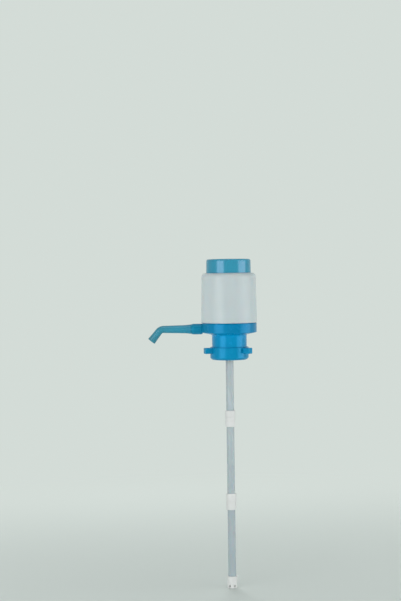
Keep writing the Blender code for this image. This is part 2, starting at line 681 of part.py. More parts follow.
def bellows_outline():
    """Flanged necks at both ends with a row of V-shaped ribs between them."""
    rib_height = (BELLOWS_LENGTH - BELLOWS_END_LENGTH * 2) / BELLOWS_RIBS
    first = BELLOWS_LENGTH - BELLOWS_END_LENGTH
    ribs = [(BELLOWS_NECK_RADIUS, first)]
    for index in range(BELLOWS_RIBS):
        crest = first - rib_height * (index + 0.5)
        ribs.append((BELLOWS_RIB_RADIUS, crest))
        ribs.append((BELLOWS_NECK_RADIUS, crest - rib_height / 2))
    outer = [
        (BELLOWS_FLANGE_RADIUS, BELLOWS_LENGTH),
        (BELLOWS_FLANGE_RADIUS, BELLOWS_LENGTH - BELLOWS_FLANGE_THICKNESS),
        (BELLOWS_NECK_RADIUS, BELLOWS_LENGTH - BELLOWS_FLANGE_THICKNESS),
    ]
    outer += ribs
    outer += [
        (BELLOWS_NECK_RADIUS, BELLOWS_FLANGE_THICKNESS),
        (BELLOWS_FLANGE_RADIUS, BELLOWS_FLANGE_THICKNESS),
        (BELLOWS_FLANGE_RADIUS, 0.0),
    ]
    inner = [(BELLOWS_NECK_RADIUS - BELLOWS_WALL, 0.0)]
    inner += [(radius - BELLOWS_WALL, height) for radius, height in reversed(ribs)]
    inner.append((BELLOWS_NECK_RADIUS - BELLOWS_WALL, BELLOWS_LENGTH))
    return outer + inner


def make_bellows():
    turned_part("bellows", bellows_outline(), MEDIUM_SIDES, BELLOWS_FINISH, (0.0, 0.0, BELLOWS_BOTTOM))


def make_valve(name, plate_underside, plate_thickness):
    """Umbrella valve that hangs by its bulb and drops by its travel."""
    bulb_bottom = plate_thickness + FIT + VALVE_TRAVEL
    bulb_top = bulb_bottom + VALVE_BULB_HEIGHT
    outline = [
        (0.0, bulb_top),
        (VALVE_STEM_RADIUS, bulb_top),
        (VALVE_BULB_RADIUS, bulb_bottom + VALVE_EDGE),
        (VALVE_BULB_RADIUS, bulb_bottom),
        (VALVE_STEM_RADIUS, bulb_bottom),
        (VALVE_STEM_RADIUS, -FIT),
        (VALVE_RADIUS, -FIT),
        (VALVE_RADIUS, -FIT - VALVE_THICKNESS + VALVE_EDGE),
        (VALVE_RADIUS - VALVE_EDGE, -FIT - VALVE_THICKNESS),
        (0.0, -FIT - VALVE_THICKNESS),
    ]
    turned_part(name, outline, MEDIUM_SIDES, SILICONE_FINISH, (0.0, 0.0, plate_underside))


def make_housing():
    centre = (HOUSING_OPENING_RADIUS, HOUSING_HEIGHT - SHOULDER_RADIUS)
    outline = arc_points(centre, SHOULDER_RADIUS, 90.0, 0.0)
    outline += [
        (HOUSING_FOOT_RADIUS, 0.0),
        (HOUSING_FOOT_RADIUS - HOUSING_WALL, 0.0),
    ]
    outline += arc_points(centre, SHOULDER_RADIUS - HOUSING_WALL, 0.0, 90.0)
    turned_part("housing", outline, LARGE_SIDES, MILKY_FINISH, (0.0, 0.0, HOUSING_BOTTOM))


def cap_stop_top():
    """The stop flange clears the inside of the housing's shoulder."""
    run = CAP_RADIUS + CAP_STOP_WIDTH - HOUSING_OPENING_RADIUS
    inner = SHOULDER_RADIUS - HOUSING_WALL
    return SHOULDER_HEIGHT + math.sqrt(inner ** 2 - run ** 2) - FIT


def make_press_cap():
    rounding_centre = (CAP_TOP_RADIUS - CAP_ROUNDING, CAP_TOP - CAP_ROUNDING)
    stop_top = cap_stop_top()
    stop_bottom = stop_top - CAP_STOP_THICKNESS
    skirt_bottom = HOUSING_TOP - CAP_SKIRT_DEPTH
    outline = [(0.0, CAP_TOP)]
    outline += arc_points(rounding_centre, CAP_ROUNDING, 90.0, 0.0)
    outline += [
        (CAP_RADIUS, HOUSING_TOP),
        (CAP_RADIUS, stop_top),
        (CAP_RADIUS + CAP_STOP_WIDTH, stop_top),
        (CAP_RADIUS + CAP_STOP_WIDTH, stop_bottom),
        (CAP_RADIUS, stop_bottom),
        (CAP_RADIUS, skirt_bottom),
        (CAP_BORE_RADIUS, skirt_bottom),
        (CAP_BORE_RADIUS, CAP_CEILING),
        (0.0, CAP_CEILING),
    ]
    cap = turned_part("press_cap", outline, LARGE_SIDES, PALE_BLUE_FINISH)
    posts = cylinder_ring("cap_posts", SCREW_CIRCLE, SCREW_COUNT, CAP_POST_RADIUS,
                          PLATE_TOP + FIT, CAP_CEILING + CAP_ROOF / 2, SCREW_PHASE)
    holes = cylinder_ring("cap_post_holes", SCREW_CIRCLE, SCREW_COUNT, SCREW_HOLE_RADIUS,
                          PLATE_TOP - OVERRUN, cap_screw_tip() + SCREW_BOTTOM_ROOM, SCREW_PHASE)
    combine(cap, posts, "UNION")
    combine(cap, holes, "DIFFERENCE")


def spout_oring_places():
    first = SPOUT_PLUG_END + SPOUT_ORING_FIRST
    return (first, first + SPOUT_ORING_SPACING)


def spout_route(extra):
    """Middle line of the spout outside its collar, longer by extra at both ends."""
    corner_cut = SPOUT_BEND_RADIUS * math.tan(SPOUT_BEND_ANGLE / 2)
    bend_start = SPOUT_CORNER_REACH - corner_cut
    outlet = SPOUT_OUTLET_LENGTH - corner_cut
    route = []
    for step in range(SPOUT_BEND_STEPS + 1):
        angle = SPOUT_BEND_ANGLE * step / SPOUT_BEND_STEPS
        reach = bend_start + SPOUT_BEND_RADIUS * math.sin(angle)
        drop = SPOUT_BEND_RADIUS * (1.0 - math.cos(angle))
        route.append(Vector((-reach, 0.0, SPOUT_HEIGHT - drop)))
    heading = Vector((-math.cos(SPOUT_BEND_ANGLE), 0.0, -math.sin(SPOUT_BEND_ANGLE)))
    route.append(route[-1] + heading * (outlet + extra))
    return route


def spout_bar(start, plug_radius, bend_radius, tip_radius, extra):
    """Points and radii from a reach on the straight part to the tip."""
    points = [Vector((-start, 0.0, SPOUT_HEIGHT))] + spout_route(extra)
    radii = [plug_radius] + [bend_radius] * (SPOUT_BEND_STEPS + 1) + [tip_radius]
    return list(zip(points, radii))


def make_spout(spout_axis):
    """Plug and collar turned about the socket's axis, joined to the bent tube."""
    collar_end = SPOUT_COLLAR_START + SPOUT_COLLAR_LENGTH
    outline = [
        (0.0, collar_end),
        (SPOUT_TUBE_RADIUS + SPOUT_COLLAR_STEP, collar_end),
        (SPOUT_COLLAR_RADIUS, SPOUT_COLLAR_START + SPOUT_COLLAR_EDGE),
        (SPOUT_COLLAR_RADIUS, SPOUT_COLLAR_START),
        (SPOUT_PLUG_RADIUS, SPOUT_COLLAR_START),
    ]
    for place in reversed(spout_oring_places()):
        outline += [
            (SPOUT_PLUG_RADIUS, place + GROOVE_HALF_WIDTH),
            (SPOUT_GROOVE_RADIUS, place + GROOVE_HALF_WIDTH),
            (SPOUT_GROOVE_RADIUS, place - GROOVE_HALF_WIDTH),
            (SPOUT_PLUG_RADIUS, place - GROOVE_HALF_WIDTH),
        ]
    outline += [(SPOUT_PLUG_RADIUS, SPOUT_PLUG_END), (0.0, SPOUT_PLUG_END)]
    spout = turned_part("spout", outline, MEDIUM_SIDES, PALE_BLUE_FINISH, parent=spout_axis)

    tube_bar = spout_bar(SOCKET_REACH, SPOUT_TUBE_RADIUS, SPOUT_BEND_TUBE_RADIUS, SPOUT_TIP_RADIUS, 0.0)
    tube = add_tool("spout_tube", bar_mesh("spout_tube", [tube_bar], SPOUT_RESOLUTION))
    bore_bar = spout_bar(SPOUT_PLUG_END - OVERRUN, SPOUT_BORE_RADIUS, SPOUT_BORE_RADIUS,
                         SPOUT_TIP_BORE_RADIUS, OVERRUN)
    bore = add_tool("spout_bore", bar_mesh("spout_bore", [bore_bar], SPOUT_RESOLUTION))
    combine(spout, tube, "UNION")
    combine(spout, bore, "DIFFERENCE")


def make_oring(name, radius, sides, place, parent=None):
    outline = []
    for step in range(ORING_WIRE_SIDES):
        angle = -math.tau * step / ORING_WIRE_SIDES
        outline.append((radius + ORING_WIRE * math.cos(angle), ORING_WIRE * math.sin(angle)))
    turned_part(name, outline, sides, RUBBER_FINISH, place, parent)


def make_orings(spout_axis):
    for name, reach in zip(("spout_oring_inner", "spout_oring_outer"), spout_oring_places()):
        make_oring(name, SPOUT_ORING_RADIUS, MEDIUM_SIDES, (0.0, 0.0, reach), spout_axis)
    make_oring("tube_seal", TUBE_SEAL_RADIUS, MEDIUM_SIDES, (0.0, 0.0, TUBE_SEAL_HEIGHT))


def make_neck_gasket():
    turned_part("neck_gasket", ring_outline(GASKET_BORE_RADIUS, GASKET_RADIUS, 0.0, GASKET_THICKNESS),
                LARGE_SIDES, RUBBER_FINISH)


def cone_radius(height):
    """Radius of the lock ring's squeezing cone at a height."""
    share = (height - CONE_BOTTOM) / LOCK_RING_CONE_HEIGHT
    return LOCK_RING_MOUTH_RADIUS + (LOCK_RING_BORE_RADIUS - LOCK_RING_MOUTH_RADIUS) * share


def cone_gap():
    """Radial gap that leaves the fit between two parallel cones."""
    run = LOCK_RING_BORE_RADIUS - LOCK_RING_MOUTH_RADIUS
    return FIT * math.hypot(run, LOCK_RING_CONE_HEIGHT) / LOCK_RING_CONE_HEIGHT


def make_grip_collet():
    """Split ring with a cone that the lock ring's cone squeezes."""
    cone_run = LOCK_RING_BORE_RADIUS - LOCK_RING_MOUTH_RADIUS
    cone_start = CONE_TOP - (LOCK_RING_BORE_RADIUS - cone_gap() - COLLET_RADIUS) * LOCK_RING_CONE_HEIGHT / cone_run
    outline = [
        (COLLET_RADIUS, COLLET_TOP),
        (COLLET_RADIUS, cone_start),
        (cone_radius(CONE_BOTTOM) - cone_gap(), CONE_BOTTOM),
        (COLLET_BORE_RADIUS, CONE_BOTTOM),
        (COLLET_BORE_RADIUS, COLLET_TOP),
    ]
    collet = turned_part("grip_collet", outline, LARGE_SIDES, WHITE_FINISH)
    reach = COLLET_RADIUS + OVERRUN
    split = radial_slots("collet_split", 1, reach, COLLET_SPLIT,
                         CONE_BOTTOM - OVERRUN, COLLET_TOP + OVERRUN, math.pi)
    slot_step = math.tau / (COLLET_SLOT_COUNT + 1)
    combine(collet, split, "DIFFERENCE")
    for index in range(COLLET_SLOT_COUNT):
        slot = radial_slots(f"collet_slot_{index + 1}", 1, reach, COLLET_SLOT_WIDTH, CONE_BOTTOM - OVERRUN,
                            CONE_BOTTOM + COLLET_SLOT_HEIGHT, math.pi + slot_step * (index + 1))
        combine(collet, slot, "DIFFERENCE")


def make_ear(number):
    """One finger ear of the lock ring, sunk into its wall."""
    inner = LOCK_RING_BORE_RADIUS + EAR_SINK
    length = EAR_REACH - inner
    angle = EAR_TURN + math.tau * number / EAR_COUNT

    def build(shape):
        size = Matrix.Diagonal((length, EAR_WIDTH, EAR_HEIGHT, 1.0))
        bmesh.ops.create_cube(shape, size=1.0, matrix=size)

    middle = inner + length / 2
    place = (middle * math.cos(angle), middle * math.sin(angle), LOCK_RING_TOP - EAR_STEP - EAR_HEIGHT / 2)
    ear = add_tool(f"ear_{number + 1}", mesh_from("ear", build), place)
    ear.rotation_euler = (0.0, 0.0, angle)
    rounding = ear.modifiers.new("rounding", "BEVEL")
    rounding.width = EAR_ROUNDING
    rounding.segments = 2
    return ear


def ring_bead_height():
    """The ring's beads rest on the neck's beads with the thread's fit between them."""
    apart = THREAD_BEAD * 2 + THREAD_FIT
    radial = RING_BEAD_RADIUS - NECK_BEAD_RADIUS
    return NECK_BEAD_HEIGHT + math.sqrt(apart ** 2 - radial ** 2)


def make_lock_ring():
    outline = [
        (LOCK_RING_RADIUS - LOCK_RING_EDGE, LOCK_RING_TOP),
        (LOCK_RING_RADIUS, LOCK_RING_TOP - LOCK_RING_EDGE),
        (LOCK_RING_RADIUS, LOCK_RING_BOTTOM + LOCK_RING_CHAMFER),
        (LOCK_RING_FOOT_RADIUS, LOCK_RING_BOTTOM),
        (LOCK_RING_MOUTH_RADIUS, LOCK_RING_BOTTOM),
        (LOCK_RING_MOUTH_RADIUS, CONE_BOTTOM),
        (LOCK_RING_BORE_RADIUS, CONE_TOP),
        (LOCK_RING_BORE_RADIUS, LOCK_RING_TOP),
    ]
    ring = turned_part("lock_ring", outline, LARGE_SIDES, BLUE_FINISH)
    lug_bars = helix_bars(RING_BEAD_RADIUS, ring_bead_height(), THREAD_LUG_START, THREAD_LUG_SWEEP, THREAD_BEAD)
    combine(ring, add_tool("ring_thread", bar_mesh("ring_thread", lug_bars, THREAD_RESOLUTION)), "UNION")
    for number in range(EAR_COUNT):
        combine(ring, make_ear(number), "UNION")


def make_dip_tube():
    names = ("upper", "middle", "lower")
    for number, name in enumerate(names):
        top = TUBE_TOP - TUBE_PITCH * number
        turned_part(f"dip_tube_{name}", ring_outline(TUBE_BORE_RADIUS, TUBE_RADIUS, -TUBE_LENGTH, 0.0),
                    MEDIUM_SIDES, TUBE_FINISH, (0.0, 0.0, top))


def make_couplers():
    """Sleeves over the tube joints, with a rib that the tube ends meet."""
    half = COUPLER_LENGTH / 2
    half_rib = COUPLER_RIB_THICKNESS / 2
    outline = [
        (COUPLER_RADIUS - COUPLER_EDGE, half),
        (COUPLER_RADIUS, half - COUPLER_EDGE),
        (COUPLER_RADIUS, COUPLER_EDGE - half),
        (COUPLER_RADIUS - COUPLER_EDGE, -half),
        (TUBE_SOCKET_RADIUS, -half),
        (TUBE_SOCKET_RADIUS, -half_rib),
        (COUPLER_RIB_RADIUS, -half_rib),
        (COUPLER_RIB_RADIUS, half_rib),
        (TUBE_SOCKET_RADIUS, half_rib),
        (TUBE_SOCKET_RADIUS, half),
    ]
    for number, name in enumerate(("upper", "lower"), start=1):
        middle = TUBE_TOP - TUBE_PITCH * number + FIT + half_rib
        turned_part(f"tube_coupler_{name}", outline, MEDIUM_SIDES, WHITE_FINISH, (0.0, 0.0, middle))


def make_foot_strainer():
    tube_end = TUBE_TOP - TUBE_PITCH * 2 - TUBE_LENGTH
    shoulder = tube_end - FIT
    chamber_top = shoulder - COUPLER_RIB_THICKNESS
    floor_top = chamber_top - STRAINER_ROOM
    bottom = floor_top - STRAINER_FLOOR
    outline = [
        (COUPLER_RADIUS - COUPLER_EDGE, tube_end + STRAINER_GRIP),
        (COUPLER_RADIUS, tube_end + STRAINER_GRIP - COUPLER_EDGE),
        (COUPLER_RADIUS, bottom + COUPLER_EDGE),
        (COUPLER_RADIUS - COUPLER_EDGE, bottom),
        (0.0, bottom),
        (0.0, floor_top),
        (TUBE_SOCKET_RADIUS, floor_top),
        (TUBE_SOCKET_RADIUS, chamber_top),
        (COUPLER_RIB_RADIUS, chamber_top),
        (COUPLER_RIB_RADIUS, shoulder),
        (TUBE_SOCKET_RADIUS, shoulder),
        (TUBE_SOCKET_RADIUS, tube_end + STRAINER_GRIP),
    ]
    first_on_axis = outline.index((0.0, floor_top))
    outline = outline[first_on_axis:] + outline[:first_on_axis]
    strainer = turned_part("foot_strainer", outline, MEDIUM_SIDES, WHITE_FINISH)
    slots = []
    for index in range(STRAINER_SLOT_COUNT // 2):
        phase = math.tau * index / STRAINER_SLOT_COUNT

        def build(shape, phase=phase):
            size = Matrix.Diagonal(((COUPLER_RADIUS + OVERRUN) * 2, STRAINER_SLOT_WIDTH, STRAINER_ROOM, 1.0))
            middle = Matrix.Translation((0.0, 0.0, (floor_top + chamber_top) / 2))
            turned_by = Matrix.Rotation(phase, 4, "Z")
            bmesh.ops.create_cube(shape, size=1.0, matrix=turned_by @ middle @ size)
        slots.append(add_tool(f"strainer_slot_{index + 1}", mesh_from("strainer_slot", build)))
    holes = cylinder_ring("strainer_holes", STRAINER_HOLE_CIRCLE, STRAINER_SLOT_COUNT, STRAINER_HOLE_RADIUS,
                          bottom - OVERRUN, floor_top + OVERRUN)
    for slot in slots:
        combine(strainer, slot, "DIFFERENCE")
    combine(strainer, holes, "DIFFERENCE")


def make_pump():
    spout_axis = add_joint_empty("spout_axis", (0.0, 0.0, SPOUT_HEIGHT), (0.0, -math.pi / 2, 0.0))
    make_base_body(spout_axis)
    make_deck()
    make_valve("outlet_valve", DECK_UNDERSIDE, DECK_THICKNESS)
    make_clamp_ring("bellows_base_ring", LOWER_CLAMP_BOTTOM)
    make_bellows()
    make_clamp_ring("bellows_top_ring", UPPER_CLAMP_TOP - CLAMP_THICKNESS)
    make_cap_plate()
    make_valve("inlet_valve", PLATE_UNDERSIDE, PLATE_THICKNESS)
    make_screws()
    make_press_cap()
    make_housing()
    make_spout(spout_axis)
    make_orings(spout_axis)
    make_neck_gasket()
    make_grip_collet()
    make_lock_ring()
    make_dip_tube()
    make_couplers()
    make_foot_strainer()


clear_scene()
PARTS = new_collection(OBJECT_NAME)
CUTTERS = new_collection("cutters")
make_pump()
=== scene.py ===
import math

import bmesh
import bpy
from mathutils import Matrix, Vector


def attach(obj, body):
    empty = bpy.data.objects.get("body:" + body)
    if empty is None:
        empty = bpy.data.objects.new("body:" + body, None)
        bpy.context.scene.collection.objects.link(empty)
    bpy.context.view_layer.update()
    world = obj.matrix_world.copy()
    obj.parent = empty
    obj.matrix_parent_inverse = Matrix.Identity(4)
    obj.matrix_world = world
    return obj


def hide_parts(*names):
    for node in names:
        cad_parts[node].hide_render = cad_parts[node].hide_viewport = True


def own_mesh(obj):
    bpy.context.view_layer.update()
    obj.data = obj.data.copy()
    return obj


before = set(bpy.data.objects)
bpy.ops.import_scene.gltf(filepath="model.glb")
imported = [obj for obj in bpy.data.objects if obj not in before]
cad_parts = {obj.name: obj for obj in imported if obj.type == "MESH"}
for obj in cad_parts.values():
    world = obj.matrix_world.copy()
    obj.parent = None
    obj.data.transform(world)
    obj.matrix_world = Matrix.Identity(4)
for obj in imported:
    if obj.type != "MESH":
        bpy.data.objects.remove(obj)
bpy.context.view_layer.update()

mm = 0.001
scene = bpy.context.scene
scene.view_settings.view_transform = "Standard"
print("frame loaded,", len(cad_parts), "nodes")


# camera, lights and floor
cameraSetup = {"place": (0.0, -2.23, 0.131), "yaw": 1.325, "pitch": 1.29, "roll": -0.75,
               "sensor": 36.0, "lens": 73.38}

lightSetup = {
    "leftSoftbox": {"power": 14.9, "azimuth": -43, "distance": 1.6, "height": -0.05, "width": 1.1,
                    "tall": 1.5},
    "rightSoftbox": {"power": 15.0, "azimuth": 74, "distance": 1.6, "height": -0.05, "width": 1.3,
                     "tall": 1.5},
    "frontPanel": {"power": 40.0, "azimuth": 5, "distance": 2.4, "height": -0.65, "width": 1.6, "tall": 1.2,
                   "mirrored": False},
    "topPanel": {"power": 4.0, "azimuth": 10, "distance": 0.5, "height": 1.7, "width": 1.4, "tall": 1.0},
    "backPanel": {"power": 30.0, "azimuth": 190, "distance": 2.0, "height": 0.6, "width": 1.6, "tall": 1.6,
                  "mirrored": False},
}
lightTarget = Vector((0.0, 0.0, 0.05))

stageSetup = {"floor": -0.4452, "front": -5.0, "wall": 3.4, "bend": 1.2, "top": 4.0, "half": 6.0,
              "bendSteps": 12, "colour": (0.655, 0.715, 0.680), "roughness": 0.85, "shadowReach": 0.9,
              "fill": 0.30, "fillColour": (0.95, 0.98, 1.00)}


def makeCamera(setup):
    camera = bpy.data.objects.new("photoCamera", bpy.data.cameras.new("photoCamera"))
    scene.collection.objects.link(camera)
    camera.data.sensor_fit = "VERTICAL"
    camera.data.sensor_height = setup["sensor"]
    camera.data.lens = setup["lens"]
    turned = Matrix.Rotation(math.radians(setup["yaw"]), 4, "Z")
    tipped = Matrix.Rotation(math.radians(90.0 - setup["pitch"]), 4, "X")
    rolled = Matrix.Rotation(math.radians(setup["roll"]), 4, "Z")
    camera.matrix_world = Matrix.Translation(setup["place"]) @ turned @ tipped @ rolled
    scene.camera = camera


def makeSoftbox(name, setup):
    light = bpy.data.lights.new(name, "AREA")
    light.shape = "RECTANGLE"
    light.size, light.size_y = setup["width"], setup["tall"]
    light.energy = setup["power"]
    softbox = bpy.data.objects.new(name, light)
    angle = math.radians(setup["azimuth"])
    softbox.location = (setup["distance"] * math.sin(angle), -setup["distance"] * math.cos(angle),
                        setup["height"])
    softbox.rotation_euler = (lightTarget - softbox.location).to_track_quat("-Z", "Y").to_euler()
    softbox.visible_glossy = setup.get("mirrored", True)   # whether it shows as a highlight
    scene.collection.objects.link(softbox)


def addNode(tree, kind, **values):
    # one node, with its sockets and settings given by name
    node = tree.nodes.new(kind)
    for name, value in values.items():
        if name in node.inputs:
            node.inputs[name].default_value = value
        else:
            setattr(node, name, value)
    return node


def seenRays(tree):
    # 1 for rays that show the background: camera, glossy and transmission
    rays = addNode(tree, "ShaderNodeLightPath")
    first = addNode(tree, "ShaderNodeMath", operation="ADD")
    both = addNode(tree, "ShaderNodeMath", operation="ADD", use_clamp=True)
    tree.links.new(rays.outputs["Is Camera Ray"], first.inputs[0])
    tree.links.new(rays.outputs["Is Glossy Ray"], first.inputs[1])
    tree.links.new(first.outputs[0], both.inputs[0])
    tree.links.new(rays.outputs["Is Transmission Ray"], both.inputs[1])
    return both.outputs[0]


def makeWorld(setup):
    # soft fill light all round, behind which rays that show the background see the floor's colour
    world = bpy.data.worlds.new("paleRoom")
    scene.world = world
    world.use_nodes = True
    tree = world.node_tree
    fill = tree.nodes["Background"]
    fill.inputs["Color"].default_value = (*setup["fillColour"], 1.0)
    fill.inputs["Strength"].default_value = setup["fill"]
    seen = addNode(tree, "ShaderNodeBackground", Color=(*setup["colour"], 1.0))
    mix = addNode(tree, "ShaderNodeMixShader")
    tree.links.new(seenRays(tree), mix.inputs["Fac"])
    tree.links.new(fill.outputs[0], mix.inputs[1])
    tree.links.new(seen.outputs[0], mix.inputs[2])
    tree.links.new(mix.outputs[0], tree.nodes["World Output"].inputs["Surface"])


def makeStage(setup):
    # floor that curves up into a wall, pale to the camera and with the pump's shadow near its foot
    outline = [(setup["front"], setup["floor"])]
    for step in range(setup["bendSteps"] + 1):
        angle = math.pi / 2 * step / setup["bendSteps"]
        outline.append((setup["wall"] - setup["bend"] * (1.0 - math.sin(angle)),
                        setup["floor"] + setup["bend"] * (1.0 - math.cos(angle))))
    outline.append((setup["wall"], setup["top"]))
    sides = (-setup["half"], setup["half"])
    shape = bmesh.new()
    rows = [[shape.verts.new((side, y, z)) for side in sides] for y, z in outline]
    for low, high in zip(rows, rows[1:]):
        shape.faces.new((low[0], low[1], high[1], high[0]))
    mesh = bpy.data.meshes.new("paleSweep")
    shape.to_mesh(mesh)
    shape.free()
    mesh.shade_smooth()
    sweep = bpy.data.objects.new("paleSweep", mesh)
    scene.collection.objects.link(sweep)
    paper = bpy.data.materials.new("palePaper")
    paper.use_nodes = True
    tree = paper.node_tree
    surface = tree.nodes["Principled BSDF"]
    surface.inputs["Base Color"].default_value = (*setup["colour"], 1.0)
    surface.inputs["Roughness"].default_value = setup["roughness"]
    seen = addNode(tree, "ShaderNodeEmission", Color=(*setup["colour"], 1.0))
    place = addNode(tree, "ShaderNodeTexCoord")
    away = addNode(tree, "ShaderNodeVectorMath", operation="LENGTH")
    fade = addNode(tree, "ShaderNodeMapRange", interpolation_type="SMOOTHSTEP")
    drop = abs(setup["floor"])   # from the pump's origin down to the floor
    fade.inputs["From Min"].default_value = drop
    fade.inputs["From Max"].default_value = drop + setup["shadowReach"]
    share = addNode(tree, "ShaderNodeMath", operation="MULTIPLY")
    mix = addNode(tree, "ShaderNodeMixShader")
    tree.links.new(place.outputs["Object"], away.inputs[0])
    tree.links.new(away.outputs["Value"], fade.inputs["Value"])
    tree.links.new(fade.outputs[0], share.inputs[0])
    tree.links.new(seenRays(tree), share.inputs[1])
    tree.links.new(share.outputs[0], mix.inputs["Fac"])
    tree.links.new(surface.outputs[0], mix.inputs[1])
    tree.links.new(seen.outputs[0], mix.inputs[2])
    tree.links.new(mix.outputs[0], tree.nodes["Material Output"].inputs["Surface"])
    mesh.materials.append(paper)


makeCamera(cameraSetup)
for name, setup in lightSetup.items():
    makeSoftbox(name, setup)
makeWorld(stageSetup)
makeStage(stageSetup)
print("camera, lights and floor made")


# finishes: moulded plastics, rubber and steel
# a zone is (axis, where its colour starts, where it is full, colour), and the last one lies on top; some are
# another tone, others painted light and shade, as marked below
plasticLooks = {
    "blueMoulding": {"colour": (0.000, 0.206, 0.410), "deep": (0.000, 0.173, 0.358),
                     "rubbed": (0.040, 0.290, 0.470), "tint": (0.12, 0.54, 1.00),
                     "roughness": 0.24, "grain": 0.018, "specular": 0.80, "wear": 0.25,
                     # painted light: lighter in the crease under the disc, lifting the shade the disc casts
                     # there
                     "tonesAndPaintedLight": [("Z", 0.0235, 0.0205, (0.000, 0.310, 0.600)),
                               # painted light: lighter on the neck, lifting the shade the disc casts on it;
                               # the next zone gives the ring a smaller share of that painted light
                               ("Z", 0.0175, 0.0120, (0.000, 0.252, 0.480)),
                               ("Z", -0.002, -0.005, (0.000, 0.232, 0.435)),
                               # deeper and greener towards the socket: painted shade on the disc's left
                               # side, and the socket's own deeper tone; a little lighter again at the
                               # socket's mouth
                               ("X", -0.034, -0.052, (0.004, 0.208, 0.348)),
                               ("X", -0.059, -0.070, (0.012, 0.236, 0.374))]},
    "capBlue": {"colour": (0.016, 0.282, 0.416), "deep": (0.010, 0.246, 0.370),
                "rubbed": (0.100, 0.350, 0.460), "tint": (0.62, 0.72, 1.00),
                "roughness": 0.18, "grain": 0.012, "specular": 0.98, "wear": 0.15,
                # the spout darker than the cap from the socket's mouth out, and darker and greyer again
                # towards its tip
                "tonesAndPaintedLight": [("X", -0.060, -0.070, (0.004, 0.220, 0.352)),
                          ("X", -0.073, -0.086, (0.013, 0.258, 0.372)),
                          ("X", -0.100, -0.126, (0.022, 0.232, 0.312)),
                          ("X", -0.132, -0.147, (0.038, 0.198, 0.240))]},
    "milkyShell": {"colour": (0.516, 0.582, 0.594), "deep": (0.489, 0.553, 0.567),
                   "rubbed": (0.600, 0.650, 0.655), "roughness": 0.34, "grain": 0.012, "specular": 0.42,
                   "scatter": 0.12,
                   # painted light: lighter towards the housing's left and right sides, lifting the shade at
                   # its edges
                   "tonesAndPaintedLight": [("X", -0.028, -0.047, (0.615, 0.685, 0.692)),
                             ("X", 0.036, 0.050, (0.600, 0.672, 0.681))]},
    "whiteMoulding": {"colour": (0.720, 0.730, 0.720), "deep": (0.660, 0.670, 0.660),
                      "rubbed": (0.800, 0.800, 0.790), "roughness": 0.42, "grain": 0.040},
    "bellowsSkin": {"colour": (0.620, 0.670, 0.690), "deep": (0.520, 0.580, 0.610),
                    "rubbed": (0.740, 0.770, 0.780), "roughness": 0.40, "grain": 0.060, "scatter": 0.20},
    "tubeSkin": {"colour": (0.560, 0.640, 0.670), "deep": (0.500, 0.590, 0.630),
                 "rubbed": (0.680, 0.730, 0.750), "roughness": 0.20, "grain": 0.015, "scatter": 0.15,
                 "seeThrough": 0.30},
    "blackRubber": {"colour": (0.035, 0.035, 0.038), "deep": (0.020, 0.020, 0.022),
                    "rubbed": (0.090, 0.090, 0.092), "roughness": 0.62, "grain": 0.120},
    "clearSilicone": {"colour": (0.680, 0.700, 0.690), "deep": (0.600, 0.620, 0.610),
                      "rubbed": (0.760, 0.770, 0.760), "roughness": 0.50, "grain": 0.050, "scatter": 0.25},
}

# what all the plastics share: four noises, the parts of them that count, and how much they change
plasticPattern = {
    "drift": {"Scale": 14.0, "Detail": 3.0, "Roughness": 0.55},
    "driftRange": (0.38, 0.62), "driftShare": 0.55,
    "streaks": {"Scale": 1.0, "Detail": 4.0, "Roughness": 0.6},
    "streakRange": (0.45, 0.75), "streakShare": 0.35, "streakStretch": (90.0, 90.0, 9.0),
    "smudges": {"Scale": 55.0, "Detail": 5.0, "Roughness": 0.65},
    "glossRange": (0.35, 0.70), "glossier": 0.04, "duller": 0.07,
    "wearRange": (0.40, 0.65), "edgeRange": (0.56, 0.70), "wear": 0.4,
    "grain": {"Scale": 2400.0, "Detail": 2.0}, "grainDepth": 0.0006,
    "zoneShare": 0.85, "specular": 0.5, "tint": (1.0, 1.0, 1.0), "scatterReach": 0.004, "index": 1.49,
}

steelLook = {"bright": (0.60, 0.61, 0.62), "dark": (0.42, 0.42, 0.41), "gloss": (0.22, 0.40),
             "spots": {"Scale": 700.0, "Detail": 4.0}, "spotRange": (0.3, 0.7),
             "rings": {"Scale": 900.0, "Distortion": 1.5}, "bump": {"Strength": 0.08, "Distance": 0.0002}}


def mixColours(tree, factor, first, second):
    # each colour is a value or another node's output
    mix = addNode(tree, "ShaderNodeMix", data_type="RGBA")
    tree.links.new(factor, mix.inputs["Factor"])
    for socket, colour in ((mix.inputs[6], first), (mix.inputs[7], second)):
        if isinstance(colour, tuple):
            socket.default_value = (*colour, 1.0)
        else:
            tree.links.new(colour, socket)
    return mix.outputs[2]


def rangeOf(tree, value, fromLow, fromHigh, toLow, toHigh):
    # the value's range from low to high, stretched to another range and clamped
    limits = {"From Min": fromLow, "From Max": fromHigh, "To Min": toLow, "To Max": toHigh}
    span = addNode(tree, "ShaderNodeMapRange", **limits)
    tree.links.new(value, span.inputs["Value"])
    return span.outputs[0]


